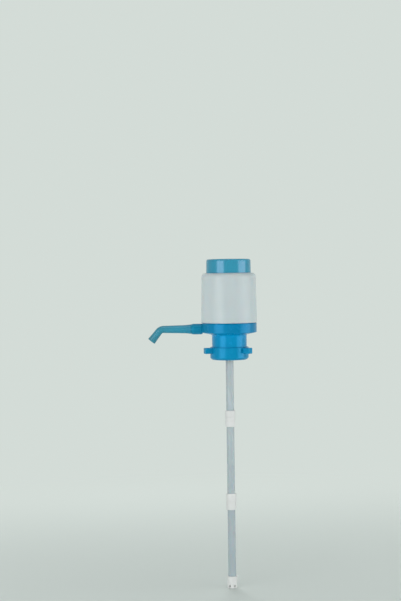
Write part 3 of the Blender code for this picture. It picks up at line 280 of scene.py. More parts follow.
def makePlastic(name, look, pattern):
    # slow colour drift, flow streaks, bands of another tone or of painted light and shade, rubbed edges,
    # uneven gloss and fine grain
    finish = bpy.data.materials.new(name)
    finish.use_nodes = True
    tree = finish.node_tree
    surface = tree.nodes["Principled BSDF"]
    place = addNode(tree, "ShaderNodeTexCoord").outputs["Object"]
    drift = addNode(tree, "ShaderNodeTexNoise", **pattern["drift"])
    stretch = addNode(tree, "ShaderNodeMapping", Scale=pattern["streakStretch"])
    streaks = addNode(tree, "ShaderNodeTexNoise", **pattern["streaks"])
    smudges = addNode(tree, "ShaderNodeTexNoise", **pattern["smudges"])
    grain = addNode(tree, "ShaderNodeTexNoise", **pattern["grain"])
    edges = addNode(tree, "ShaderNodeNewGeometry").outputs["Pointiness"]
    tree.links.new(place, drift.inputs["Vector"])
    tree.links.new(place, stretch.inputs["Vector"])
    tree.links.new(stretch.outputs[0], streaks.inputs["Vector"])
    tree.links.new(place, smudges.inputs["Vector"])
    tree.links.new(place, grain.inputs["Vector"])

    drifted = rangeOf(tree, drift.outputs[0], *pattern["driftRange"], 0.0, pattern["driftShare"])
    base = mixColours(tree, drifted, look["colour"], look["deep"])
    streaked = rangeOf(tree, streaks.outputs[0], *pattern["streakRange"], 0.0, pattern["streakShare"])
    flowAndZoneColour = mixColours(tree, streaked, base, look["deep"])
    axes = addNode(tree, "ShaderNodeSeparateXYZ")
    tree.links.new(place, axes.inputs[0])
    # each zone mixes its colour in along one axis: another tone, or painted light and shade where a look
    # marks it so
    for axis, start, full, colour in look.get("tonesAndPaintedLight", []):
        share = rangeOf(tree, axes.outputs[axis], start, full, 0.0, pattern["zoneShare"])
        flowAndZoneColour = mixColours(tree, share, flowAndZoneColour, colour)
    worn = addNode(tree, "ShaderNodeMath", operation="MULTIPLY")
    edgeWear = rangeOf(tree, edges, *pattern["edgeRange"], 0.0, look.get("wear", pattern["wear"]))
    tree.links.new(edgeWear, worn.inputs[0])
    tree.links.new(rangeOf(tree, smudges.outputs[0], *pattern["wearRange"], 0.0, 1.0), worn.inputs[1])
    tree.links.new(mixColours(tree, worn.outputs[0], flowAndZoneColour, look["rubbed"]), surface.inputs["Base Color"])

    gloss = rangeOf(tree, smudges.outputs[0], *pattern["glossRange"],
                    look["roughness"] - pattern["glossier"], look["roughness"] + pattern["duller"])
    tree.links.new(gloss, surface.inputs["Roughness"])
    bump = addNode(tree, "ShaderNodeBump", Strength=look["grain"], Distance=pattern["grainDepth"])
    tree.links.new(grain.outputs[0], bump.inputs["Height"])
    tree.links.new(bump.outputs[0], surface.inputs["Normal"])
    surface.inputs["Specular IOR Level"].default_value = look.get("specular", pattern["specular"])
    surface.inputs["Specular Tint"].default_value = (*look.get("tint", pattern["tint"]), 1.0)
    surface.inputs["Subsurface Weight"].default_value = look.get("scatter", 0.0)
    surface.inputs["Subsurface Scale"].default_value = pattern["scatterReach"]
    surface.inputs["Transmission Weight"].default_value = look.get("seeThrough", 0.0)
    surface.inputs["IOR"].default_value = pattern["index"]
    return finish


def makeSteel(look):
    # zinc-plated screws: turned rings on bright metal
    finish = bpy.data.materials.new("platedSteel")
    finish.use_nodes = True
    tree = finish.node_tree
    surface = tree.nodes["Principled BSDF"]
    place = addNode(tree, "ShaderNodeTexCoord").outputs["Object"]
    spots = addNode(tree, "ShaderNodeTexNoise", **look["spots"])
    rings = addNode(tree, "ShaderNodeTexWave", wave_type="BANDS", bands_direction="Z", **look["rings"])
    for texture in (spots, rings):
        tree.links.new(place, texture.inputs["Vector"])
    tint = mixColours(tree, spots.outputs[0], look["bright"], look["dark"])
    tree.links.new(tint, surface.inputs["Base Color"])
    gloss = rangeOf(tree, spots.outputs[0], *look["spotRange"], *look["gloss"])
    tree.links.new(gloss, surface.inputs["Roughness"])
    bump = addNode(tree, "ShaderNodeBump", **look["bump"])
    tree.links.new(rings.outputs[0], bump.inputs["Height"])
    tree.links.new(bump.outputs[0], surface.inputs["Normal"])
    surface.inputs["Metallic"].default_value = 1.0
    return finish


finishes = {name: makePlastic(name, look, plasticPattern) for name, look in plasticLooks.items()}
finishes["platedSteel"] = makeSteel(steelLook)
slotFinishes = {
    "blue_plastic": "blueMoulding", "cap_blue_plastic": "capBlue", "milky_plastic": "milkyShell",
    "white_plastic": "whiteMoulding", "bellows_plastic": "bellowsSkin", "tube_plastic": "tubeSkin",
    "seal_rubber": "blackRubber", "valve_silicone": "clearSilicone", "screw_steel": "platedSteel",
}
print("finishes made:", ", ".join(finishes))


# mesh tools
spoutAxis = 28.8          # height of the spout's axis above the bottle's lip
circleOfScrews = 36.1
screwHole = 1.5
holeSides = 20
overCut = 1.0             # how far a cutting tool runs past the face it cuts
quarters = (0.25, 0.5, 0.75)
wireSides = 16
flashSwell = 1.03         # parting flash of an O-ring, as a share of its wire
threadStarts = 3
threadRunOut = (0.55, 0.85)   # a thread's first and second sections, as shares of the full one


def spread(count, first=0.0):
    return [first + 360.0 * index / count for index in range(count)]


def circlePlaces(circle, count, first=0.0):
    angles = [math.radians(turn) for turn in spread(count, first)]
    return [(circle * math.cos(angle), circle * math.sin(angle)) for angle in angles]


screwPlaces = circlePlaces(circleOfScrews, 4, 45.0)


def roundCorners(corners, steps):
    # corners are (radius, height, rounding) round a closed outline
    points = []
    for index, (radius, height, rounding) in enumerate(corners):
        corner = Vector((radius, height))
        if rounding == 0:
            points.append(corner)
            continue
        back = (Vector(corners[index - 1][:2]) - corner).normalized()
        ahead = (Vector(corners[(index + 1) % len(corners)][:2]) - corner).normalized()
        half = back.angle(ahead) / 2
        middle = corner + (back + ahead).normalized() * rounding / math.sin(half)
        first = corner + back * rounding / math.tan(half) - middle
        last = corner + ahead * rounding / math.tan(half) - middle
        sweep = first.angle(last)
        for step in range(steps + 1):
            share = step / steps
            spoke = first * math.sin((1 - share) * sweep) + last * math.sin(share * sweep)
            points.append(middle + spoke / math.sin(sweep))
    return points


def addPiece(name, shape):
    # object from a filled bmesh, with its faces turned outward
    bmesh.ops.recalc_face_normals(shape, faces=shape.faces)
    mesh = bpy.data.meshes.new(name)
    shape.to_mesh(mesh)
    shape.free()
    piece = bpy.data.objects.new(name, mesh)
    scene.collection.objects.link(piece)
    return piece


def turnPiece(name, corners, sides=96, steps=5):
    # turned about the pump's own axis
    outline = roundCorners(corners, steps)
    shape = bmesh.new()
    rings = []
    for radius, height in outline:
        count = sides if radius > 0 else 1
        rings.append([shape.verts.new((radius * mm * math.cos(math.tau * side / sides),
                                       radius * mm * math.sin(math.tau * side / sides),
                                       height * mm)) for side in range(count)])
    for index, ring in enumerate(rings):
        other = rings[(index + 1) % len(rings)]
        if len(ring) == len(other) == 1:
            continue
        for side in range(sides):
            following = (side + 1) % sides
            loop = (ring[side % len(ring)], ring[following % len(ring)],
                    other[following % len(other)], other[side % len(other)])
            shape.faces.new(list(dict.fromkeys(loop)))
    return addPiece(name, shape)


def roundPlate(name, size, centre, rounding, turn=0.0, steps=3):
    # block with rounded edges, turned about the pump's axis
    shape = bmesh.new()
    scale = Matrix.Diagonal((size[0] * mm, size[1] * mm, size[2] * mm, 1.0))
    bmesh.ops.create_cube(shape, size=1.0, matrix=Matrix.Translation(Vector(centre) * mm) @ scale)
    if rounding > 0:
        bmesh.ops.bevel(shape, geom=shape.edges[:], offset=rounding * mm, segments=steps, profile=0.5,
                        affect="EDGES")
    turned = Matrix.Rotation(math.radians(turn), 3, "Z")
    bmesh.ops.rotate(shape, verts=shape.verts, cent=(0, 0, 0), matrix=turned)
    return addPiece(name, shape)


def combine(piece, tool, operation):
    # joins the tool to the piece or cuts it out, and puts the result in the piece's mesh
    change = piece.modifiers.new("combine", "BOOLEAN")
    change.operation = operation
    change.solver = "EXACT"
    change.object = tool
    bpy.context.view_layer.update()
    made = bpy.data.meshes.new_from_object(piece.evaluated_get(bpy.context.evaluated_depsgraph_get()))
    piece.modifiers.clear()
    piece.data = made
    bpy.data.objects.remove(tool)


def sweepBead(name, line, sides=10):
    # round bar along (point, radius) pairs whose section stands on the radial and the upward direction
    shape = bmesh.new()
    rings = []
    for point, radius in line:
        outward = Vector((point.x, point.y, 0.0)).normalized()
        ring = []
        for side in range(sides):
            angle = math.tau * side / sides
            spoke = outward * math.cos(angle) + Vector((0.0, 0.0, math.sin(angle)))
            ring.append(shape.verts.new((point + spoke * radius) * mm))
        rings.append(ring)
    for ring, other in zip(rings, rings[1:]):
        for side in range(sides):
            following = (side + 1) % sides
            shape.faces.new((ring[side], ring[following], other[following], other[side]))
    shape.faces.new(rings[0])
    shape.faces.new(rings[-1])
    return addPiece(name, shape)


def threadBeads(v):
    # the starts of one screw thread, each bead growing thinner towards its ends
    shares = (*threadRunOut, 1.0)
    beads = []
    for first in spread(threadStarts):
        line = []
        for step in range(v["steps"] + 1):
            turn = v["start"] + v["sweep"] * step / v["steps"]
            angle = math.radians(first + turn)
            height = v["height"] + v["lead"] * turn / 360.0
            point = Vector((v["radius"] * math.cos(angle), v["radius"] * math.sin(angle), height))
            fromEnd = min(step, v["steps"] - step, len(threadRunOut))
            line.append((point, v["bead"] * shares[fromEnd]))
        beads.append(sweepBead("bead", line))
    return beads


def peg(radius, bottom, top, place, sides=32):
    # upright round bar, to join on or to cut a hole with
    piece = turnPiece("peg", [(0, top, 0), (radius, top, 0), (radius, bottom, 0), (0, bottom, 0)], sides)
    piece.data.transform(Matrix.Translation((place[0] * mm, place[1] * mm, 0.0)))
    return piece


def drillScrewHoles(piece, bottom, top):
    for place in screwPlaces:
        combine(piece, peg(screwHole, bottom, top, place, holeSides), "DIFFERENCE")


def ringOfWire(name, radius, wire, height):
    # O-ring with its parting flash inside and outside
    corners = []
    for step in range(wireSides):
        angle = -math.tau * step / wireSides
        reach = wire * (flashSwell if step in (0, wireSides // 2) else 1.0)
        corners.append((radius + reach * math.cos(angle), height + wire * math.sin(angle), 0))
    return turnPiece(name, corners, 72)


def laySpoutways(piece):
    # from the pump's axis to the spout's axis, which runs along -X
    tilt = Matrix.Translation((0.0, 0.0, spoutAxis * mm)) @ Matrix.Rotation(-math.pi / 2, 4, "Y")
    piece.data.transform(tilt)
    return piece


def clearSlivers(piece, reach=0.003):
    # joins points that a Boolean left within the reach, takes out faces without area and closes cracks
    shape = bmesh.new()
    shape.from_mesh(piece.data)
    bmesh.ops.remove_doubles(shape, verts=shape.verts, dist=reach * mm)
    bmesh.ops.dissolve_degenerate(shape, edges=shape.edges, dist=reach * mm)
    bmesh.ops.holes_fill(shape, edges=[edge for edge in shape.edges if edge.is_boundary], sides=0)
    shape.to_mesh(piece.data)
    shape.free()


def dress(piece, body, slot, *replaced, angle=32.0):
    # last repairs, finish and shading, and the body that carries the piece
    clearSlivers(piece)
    piece.data.materials.clear()
    piece.data.materials.append(finishes[slotFinishes[slot]])
    piece.data.shade_smooth()
    piece.data.set_sharp_from_angle(angle=math.radians(angle))
    shading = piece.modifiers.new("evenShading", "WEIGHTED_NORMAL")
    shading.keep_sharp = True
    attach(piece, body)
    if replaced:
        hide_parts(*replaced)


# press cap
capValues = {"top": 156.0, "crown": 0.6, "topRadius": 40.3, "radius": 40.8, "rounding": 3.4, "bore": 38.6,
             "ceiling": 153.5, "skirt": 118.3, "stopRadius": 43.1, "stopTop": 127.52, "stopBottom": 125.12,
             "postRadius": 3.0, "postBottom": 149.3, "postSink": 1.2, "holeTop": 152.8}


def makePressCap(v):
    edge = v["top"] - v["crown"]
    corners = [(0, v["top"], 0)]
    for share in quarters:
        corners.append((v["topRadius"] * share, v["top"] - v["crown"] * share ** 2, 0))
    corners += [(v["topRadius"], edge, v["rounding"]), (v["radius"], v["stopTop"], 0.3),
                (v["stopRadius"], v["stopTop"], 0.6), (v["stopRadius"], v["stopBottom"], 0.6),
                (v["radius"], v["stopBottom"], 0.3), (v["radius"], v["skirt"], 0.6),
                (v["bore"], v["skirt"], 0.6), (v["bore"], v["ceiling"], 1.2), (0, v["ceiling"], 0)]
    cap = turnPiece("pressCap", corners, 128, 6)
    for place in screwPlaces:
        combine(cap, peg(v["postRadius"], v["postBottom"], v["ceiling"] + v["postSink"], place), "UNION")
        hole = peg(screwHole, v["postBottom"] - overCut, v["holeTop"], place, holeSides)
        combine(cap, hole, "DIFFERENCE")
    dress(cap, "cap", "cap_blue_plastic", "press_cap")


makePressCap(capValues)
print("press cap made")


# housing
housingValues = {"top": 130.3, "opening": 41.3, "shoulder": 49.4, "bottom": 40.3, "foot": 51.2, "wall": 2.2,
                 "shoulderRounding": 7.4, "rimHeight": 1.6, "rimStep": 0.35}


def makeHousing(v):
    inner = v["shoulder"] - v["wall"]
    corners = [(v["opening"], v["top"], 0.6), (v["shoulder"], v["top"], v["shoulderRounding"]),
               (v["foot"] - v["rimStep"], v["bottom"] + v["rimHeight"] + v["rimStep"], 0.3),
               (v["foot"], v["bottom"] + v["rimHeight"], 0.3), (v["foot"], v["bottom"], 0.4),
               (v["foot"] - v["wall"], v["bottom"], 0.4),
               (inner, v["top"] - v["wall"], v["shoulderRounding"] - v["wall"]),
               (v["opening"], v["top"] - v["wall"], 0.5)]
    housing = turnPiece("housingShell", corners, 144, 10)
    dress(housing, "base", "milky_plastic", "housing")


makeHousing(housingValues)
print("housing made")


# base: disc, socket, neck, column and water channel in one moulding
baseValues = {"discRadius": 50.2, "discTop": 40.0, "discBottom": 22.3, "seam": 1.1, "seamDepth": 1.3,
              "floor": 2.9, "floorDrop": 4.0, "fillet": 2.6, "collarRadius": 48.5, "collarBore": 46.3,
              "collarTop": 45.6, "ledgeBore": 43.3, "ledgeTop": 36.3, "neckRadius": 31.6, "neckBore": 28.6,
              "neckBottom": -15.5, "threadRoot": 30.8, "threadTop": -4.8, "threadSlope": 0.8,
              "columnRadius": 10.2, "columnTop": 34.8, "columnBottom": -13.0, "columnBore": 4.2,
              "boreTop": 30.8, "tubeSocket": 7.3, "tubeStop": 16.0, "groove": 8.8, "grooveAt": -6.1,
              "grooveHalf": 0.9, "postRadius": 2.8, "postFoot": 21.5, "postTop": 37.6, "postHole": 33.3,
              "shelfTop": 5.3, "shelfBottom": 2.3, "shelfHole": 2.6, "shelfHoles": 4,
              "shelfHoleCircle": 15.6, "shelfHoleTurn": 25.0}
socketValues = {"radius": 9.8, "end": 69.2, "root": 47.9, "mouth": 8.9, "slope": 4.6, "mouthEdge": 0.5,
                "slopeEdge": 4.0, "rootEdge": 3.4, "bore": 7.8, "step": 49.3, "channel": 4.0,
                "channelEnd": 0.5, "pipe": 5.7, "pipeBack": 3.0}
neckThread = {"radius": 31.0, "height": -13.9, "start": 0.0, "sweep": 115.0, "lead": 12.0, "bead": 0.8,
              "steps": 23}


def floorUnder(v, radius):
    # height of the disc's conical underside at a radius
    run = v["discRadius"] - v["neckRadius"]
    return v["discBottom"] - v["floorDrop"] * (1.0 - (radius - v["neckRadius"]) / run)


def makeBase(v, s):
    grooveBottom, grooveTop = v["grooveAt"] - v["grooveHalf"], v["grooveAt"] + v["grooveHalf"]
    corners = [
        (0, v["columnTop"], 0), (v["columnRadius"], v["columnTop"], 0.6),
        (v["columnRadius"], v["shelfTop"], 0.8), (v["neckBore"], v["shelfTop"], 0.8),
        (v["neckBore"], floorUnder(v, v["neckBore"]) + v["floor"], 1.0),
        (v["ledgeBore"], floorUnder(v, v["ledgeBore"]) + v["floor"], 0.8),
        (v["ledgeBore"], v["ledgeTop"], 0.4), (v["collarBore"], v["ledgeTop"], 0.3),
        (v["collarBore"], v["collarTop"], 0.5),
        (v["collarRadius"], v["collarTop"], 0.5), (v["collarRadius"], v["discTop"], 0.3),
        (v["discRadius"] - v["seamDepth"], v["discTop"], 0.2),
        (v["discRadius"] - v["seamDepth"], v["discTop"] - v["seam"], 0.2),
        (v["discRadius"], v["discTop"] - v["seam"], 0.4), (v["discRadius"], v["discBottom"], 1.5),
        (v["neckRadius"], floorUnder(v, v["neckRadius"]), v["fillet"]),
        (v["neckRadius"], v["threadTop"], 0.3),
        (v["threadRoot"], v["threadTop"] - v["threadSlope"], 0.3), (v["threadRoot"], v["neckBottom"], 0.5),
        (v["neckBore"], v["neckBottom"], 0.5), (v["neckBore"], v["shelfBottom"], 0.4),
        (v["columnRadius"], v["shelfBottom"], 0.8), (v["columnRadius"], v["columnBottom"], 0.5),
        (v["tubeSocket"], v["columnBottom"], 0.5), (v["tubeSocket"], grooveBottom, 0),
        (v["groove"], grooveBottom, 0), (v["groove"], grooveTop, 0), (v["tubeSocket"], grooveTop, 0),
        (v["tubeSocket"], v["tubeStop"], 0),
        (v["columnBore"], v["tubeStop"], 0), (v["columnBore"], v["boreTop"], 0), (0, v["boreTop"], 0),
    ]
    base = turnPiece("baseMoulding", corners, 144, 5)
    socket = turnPiece("socket", [(0, s["end"], 0), (s["mouth"], s["end"], s["mouthEdge"]),
                                  (s["radius"], s["end"] - s["slope"], s["slopeEdge"]),
                                  (s["radius"], s["root"], s["rootEdge"]), (0, s["root"], 0)], 72, 5)
    pipeEnd = s["root"] - s["pipeBack"]
    pipe = turnPiece("pipe", [(0, pipeEnd, 0), (s["pipe"], pipeEnd, 0),
                              (s["pipe"], v["tubeSocket"], 0), (0, v["tubeSocket"], 0)], 48)
    boreEnd = s["end"] + overCut
    bore = turnPiece("bore", [(0, boreEnd, 0), (s["bore"], boreEnd, 0), (s["bore"], s["step"], 0),
                              (s["channel"], s["step"], 0), (s["channel"], s["channelEnd"], 0),
                              (0, s["channelEnd"], 0)], 48)
    combine(base, laySpoutways(socket), "UNION")
    combine(base, laySpoutways(pipe), "UNION")
    for place in screwPlaces:
        combine(base, peg(v["postRadius"], v["postFoot"], v["postTop"], place), "UNION")
        hole = peg(screwHole, v["postHole"], v["postTop"] + overCut, place, holeSides)
        combine(base, hole, "DIFFERENCE")
    combine(base, laySpoutways(bore), "DIFFERENCE")
    for place in circlePlaces(v["shelfHoleCircle"], v["shelfHoles"], v["shelfHoleTurn"]):
        hole = peg(v["shelfHole"], v["shelfBottom"] - overCut, v["shelfTop"] + overCut, place)
        combine(base, hole, "DIFFERENCE")
    for bead in threadBeads(neckThread):
        combine(base, bead, "UNION")
    dress(base, "base", "blue_plastic", "base_body")


makeBase(baseValues, socketValues)
print("base made")


# spout, turned straight and then bent
spoutValues = {"plugEnd": 49.6, "plug": 7.45, "groove": 6.0, "grooveHalf": 0.9, "firstGroove": 53.6,
               "secondGroove": 59.1, "ringWire": 0.6, "ringRadius": 6.9, "collarStart": 69.5,
               "collarLip": 1.2, "collarEnd": 79.0, "collar": 8.6, "collarFoot": 7.6, "bendTube": 6.6,
               "tip": 7.6, "tipFlare": 1.5, "bore": 5.0, "tipBore": 5.8, "bendStart": 119.79,
               "bendRadius": 11.0, "bendAngle": 51.5, "bendSteps": 14, "outlet": 21.99}


def bendSpout(piece, v):
    # local Z is the reach along the straight axis, local X points up
    start, radius = v["bendStart"] * mm, v["bendRadius"] * mm
    full = math.radians(v["bendAngle"])
    for vertex in piece.data.vertices:
        up, side, reach = vertex.co
        past = max(0.0, reach - start)
        angle = min(past / radius, full)
        rest = past - angle * radius
        x = min(reach, start) + radius * math.sin(angle) + rest * math.cos(angle)
        drop = radius * (1.0 - math.cos(angle)) + rest * math.sin(angle)
        vertex.co = (-x - up * math.sin(angle), side, spoutAxis * mm - drop + up * math.cos(angle))


def makeSpout(v):
    arc = math.radians(v["bendAngle"]) * v["bendRadius"]
    tipReach = v["bendStart"] + arc + v["outlet"]
    outer = [(v["plug"], v["plugEnd"], 0.5)]
    for place in (v["firstGroove"], v["secondGroove"]):
        outer += [(v["plug"], place - v["grooveHalf"], 0.15), (v["groove"], place - v["grooveHalf"], 0.15),
                  (v["groove"], place + v["grooveHalf"], 0.15), (v["plug"], place + v["grooveHalf"], 0.15)]
    outer += [(v["plug"], v["collarStart"], 0.2), (v["collar"], v["collarStart"], 0.4),
              (v["collar"], v["collarStart"] + v["collarLip"], 1.0), (v["collarFoot"], v["collarEnd"], 6.0)]
    places = [v["bendStart"] + arc * step / v["bendSteps"] for step in range(v["bendSteps"] + 1)]
    outer += [(v["bendTube"], place, 0) for place in places]
    for share in quarters:
        widened = v["bendTube"] + (v["tip"] - v["bendTube"]) * share ** v["tipFlare"]
        outer.append((widened, places[-1] + (tipReach - places[-1]) * share, 0))
    outer.append((v["tip"], tipReach, 0.6))
    inner = [(v["tipBore"], tipReach, 0.5)]
    inner += [(v["bore"], place, 0) for place in reversed(places)]
    inner.append((v["bore"], v["plugEnd"], 0.4))
    spout = turnPiece("pouringSpout", outer + inner, 56, 4)
    bendSpout(spout, v)
    dress(spout, "spout", "cap_blue_plastic", "spout")
    for name, place in (("inner", v["firstGroove"]), ("outer", v["secondGroove"])):
        seal = ringOfWire("spoutSeal" + name.capitalize(), v["ringRadius"], v["ringWire"], place)
        dress(laySpoutways(seal), "spout", "seal_rubber", "spout_oring_" + name, angle=60.0)


makeSpout(spoutValues)
print("spout made")


# lock ring with three finger ears
ringValues = {"radius": 35.1, "top": -4.2, "bottom": -27.0, "chamfer": 3.2, "bore": 32.2, "mouth": 29.2,
              "mouthTop": -26.0, "coneTop": -16.5, "ears": 3, "firstEar": 202.0, "earReach": 48.6,
              "earSink": 1.0, "earWidth": 11.0, "earHeight": 10.8, "earTop": -4.8, "earRounding": 1.5}
ringThread = {"radius": 32.0, "height": -12.17, "start": 80.0, "sweep": 28.0, "lead": 12.0, "bead": 0.8,
              "steps": 7}


def makeLockRing(v):
    corners = [(v["radius"], v["top"], 0.9), (v["radius"], v["bottom"] + v["chamfer"], 2.2),
               (v["radius"] - v["chamfer"], v["bottom"], 1.0), (v["mouth"], v["bottom"], 0.4),
               (v["mouth"], v["mouthTop"], 0.2), (v["bore"], v["coneTop"], 0.4), (v["bore"], v["top"], 0.5)]
    ring = turnPiece("lockRing", corners, 144, 6)
    inner = v["bore"] + v["earSink"]
    size = (v["earReach"] - inner, v["earWidth"], v["earHeight"])
    centre = ((v["earReach"] + inner) / 2, 0.0, v["earTop"] - v["earHeight"] / 2)
    for turn in spread(v["ears"], v["firstEar"]):
        combine(ring, roundPlate("ear", size, centre, v["earRounding"], turn, 4), "UNION")
    for bead in threadBeads(ringThread):
        combine(ring, bead, "UNION")
    dress(ring, "lock_ring", "blue_plastic", "lock_ring")


makeLockRing(ringValues)
print("lock ring made")


# dip tube, couplers and foot strainer
tubeValues = {"top": 15.7, "length": 150.0, "pitch": 151.6, "radius": 7.0, "bore": 5.5}
couplerValues = {"radius": 9.2, "socket": 7.3, "rib": 5.5, "half": 15.0, "ribHalf": 0.5, "gapHalf": 0.8,
                 "taper": 3.0, "taperDepth": 0.3, "grooves": (4.0, 0.0, -4.0), "groove": 0.35,
                 "grooveHalf": 0.7, "grooveFloor": 0.4}
strainerValues = {"radius": 9.2, "top": -423.5, "bottom": -445.0, "socket": 7.3, "shoulder": -437.8,
                  "chamberTop": -438.8, "floorTop": -443.0, "rib": 5.5, "slotWidth": 2.6, "slots": 3,
                  "holes": 6, "firstHole": 30.0, "holeCircle": 3.4, "holeRadius": 1.2}


def makeDipTube(t):
    for number, name in enumerate(("upper", "middle", "lower")):
        top = t["top"] - t["pitch"] * number
        corners = [(t["radius"], top, 0.35), (t["radius"], top - t["length"], 0.35),
                   (t["bore"], top - t["length"], 0.35), (t["bore"], top, 0.35)]
        tube = turnPiece("dipTube" + name.capitalize(), corners, 56, 3)
        dress(tube, "base", "tube_plastic", "dip_tube_" + name)


def makeCouplers(t, v):
    # sleeves over the gaps between the tube's lengths, with a rib that fills the gap
    end, floor = v["radius"] - v["taperDepth"], v["radius"] - v["groove"]
    for number, name in enumerate(("upper", "lower"), start=1):
        middle = t["top"] - t["pitch"] * number + v["gapHalf"]
        top, bottom = middle + v["half"], middle - v["half"]
        outer = [(end, top, 0.8), (v["radius"], top - v["taper"], 0.3)]
        for place in v["grooves"]:
            outer += [(v["radius"], middle + place + v["grooveHalf"], 0.15),
                      (floor, middle + place + v["grooveFloor"], 0.15),
                      (floor, middle + place - v["grooveFloor"], 0.15),
                      (v["radius"], middle + place - v["grooveHalf"], 0.15)]
        outer += [(v["radius"], bottom + v["taper"], 0.3), (end, bottom, 0.8)]
        inner = [(v["socket"], bottom, 0.4), (v["socket"], middle - v["ribHalf"], 0),
                 (v["rib"], middle - v["ribHalf"], 0), (v["rib"], middle + v["ribHalf"], 0),
                 (v["socket"], middle + v["ribHalf"], 0), (v["socket"], top, 0.4)]
        coupler = turnPiece("tubeCoupler" + name.capitalize(), outer + inner, 64, 3)
        dress(coupler, "base", "white_plastic", "tube_coupler_" + name)


def makeFootStrainer(v):
    corners = [(0, v["floorTop"], 0), (v["socket"], v["floorTop"], 0), (v["socket"], v["chamberTop"], 0),
               (v["rib"], v["chamberTop"], 0), (v["rib"], v["shoulder"], 0), (v["socket"], v["shoulder"], 0),
               (v["socket"], v["top"], 0.4), (v["radius"], v["top"], 0.7), (v["radius"], v["bottom"], 0.9),
               (0, v["bottom"], 0)]
    strainer = turnPiece("footStrainer", corners, 64, 4)
    room = v["chamberTop"] - v["floorTop"]
    size = (v["radius"] * 2 + overCut * 2, v["slotWidth"], room)
    for turn in spread(v["slots"] * 2)[:v["slots"]]:
        slot = roundPlate("slot", size, (0, 0, v["floorTop"] + room / 2), 0.0, turn)
        combine(strainer, slot, "DIFFERENCE")
    for place in circlePlaces(v["holeCircle"], v["holes"], v["firstHole"]):
        hole = peg(v["holeRadius"], v["bottom"] - overCut, v["floorTop"] + overCut, place, 24)
        combine(strainer, hole, "DIFFERENCE")
    dress(strainer, "base", "white_plastic", "foot_strainer")


makeDipTube(tubeValues)
makeCouplers(tubeValues, couplerValues)
makeFootStrainer(strainerValues)
print("dip tube made")


# bellows, grip collet, gasket and seals
bellowsValues = {"bottom": 41.2, "top": 145.7, "neck": 31.8, "rib": 37.3, "wall": 1.2, "ribs": 10,
                 "end": 9.6, "flange": 33.9, "flangeThickness": 1.5, "stroke": 22.0}
colletValues = {"top": -15.8, "bottom": -26.0, "radius": 31.3, "foot": 28.88, "coneStart": -18.35,
                "bore": 27.8, "split": 2.0, "splitAt": 180.0, "slots": 7, "slot": 1.2, "slotHeight": 4.8}
gasketValues = {"radius": 28.3, "bore": 21.0, "thickness": 2.0, "grooves": (26.5, 24.6, 22.7),
                "grooveHalf": 0.5, "grooveDepth": 0.35}
tubeSealValues = {"radius": 7.9, "wire": 0.6}


def makeBellows(v):
    pitch = (v["top"] - v["bottom"] - v["end"] * 2) / v["ribs"]
    folds = [(v["neck"], v["top"] - v["end"], 1.0)]
    for index in range(v["ribs"]):
        crest = v["top"] - v["end"] - pitch * (index + 0.5)
        folds += [(v["rib"], crest, 1.1), (v["neck"], crest - pitch / 2, 1.1)]
    outer = [(v["flange"], v["top"], 0.3), (v["flange"], v["top"] - v["flangeThickness"], 0.3),
             (v["neck"], v["top"] - v["flangeThickness"], 0.4)] + folds
    outer += [(v["neck"], v["bottom"] + v["flangeThickness"], 0.4),
              (v["flange"], v["bottom"] + v["flangeThickness"], 0.3), (v["flange"], v["bottom"], 0.3)]
    inner = [(v["neck"] - v["wall"], v["bottom"], 0.3)]
    inner += [(radius - v["wall"], height, rounding) for radius, height, rounding in reversed(folds)]
    inner.append((v["neck"] - v["wall"], v["top"], 0.3))
    bellows = turnPiece("bellowsSkin", outer + inner, 72, 3)
    dress(bellows, "base", "bellows_plastic", "bellows", angle=60.0)
    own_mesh(bellows)


def makeCollet(v):
    # ring split right through once and slotted from below between its fingers
    corners = [(v["radius"], v["top"], 0.3), (v["radius"], v["coneStart"], 0.3),
               (v["foot"], v["bottom"], 0.3), (v["bore"], v["bottom"], 0.3), (v["bore"], v["top"], 0.3)]
    collet = turnPiece("gripCollet", corners, 112, 3)
    reach = v["radius"] + overCut * 2
    split = (v["split"], v["top"] - v["bottom"] + overCut * 2)
    slot = (v["slot"], v["slotHeight"] + overCut)
    for number, turn in enumerate(spread(v["slots"] + 1, v["splitAt"])):
        width, high = slot if number else split
        centre = (reach / 2, 0.0, v["bottom"] - overCut + high / 2)
        combine(collet, roundPlate("gap", (reach, width, high), centre, 0.0, turn), "DIFFERENCE")
    dress(collet, "grip_collet", "white_plastic", "grip_collet")


def makeGasket(v):
    top, bottom = v["thickness"], 0.0
    corners = [(v["radius"], top, 0.4), (v["radius"], bottom, 0.4)]
    for place in v["grooves"]:
        corners += [(place + v["grooveHalf"], bottom, 0.1), (place, bottom + v["grooveDepth"], 0.1),
                    (place - v["grooveHalf"], bottom, 0.1)]
    corners += [(v["bore"], bottom, 0.4), (v["bore"], top, 0.4)]
    dress(turnPiece("neckGasket", corners, 96, 3), "base", "seal_rubber", "neck_gasket")


def makeTubeSeal(v, height):
    seal = ringOfWire("tubeSeal", v["radius"], v["wire"], height)
    dress(seal, "base", "seal_rubber", "tube_seal", angle=60.0)


makeBellows(bellowsValues)
makeCollet(colletValues)
makeGasket(gasketValues)
makeTubeSeal(tubeSealValues, baseValues["grooveAt"])
print("bellows, collet, gasket and tube seal made")


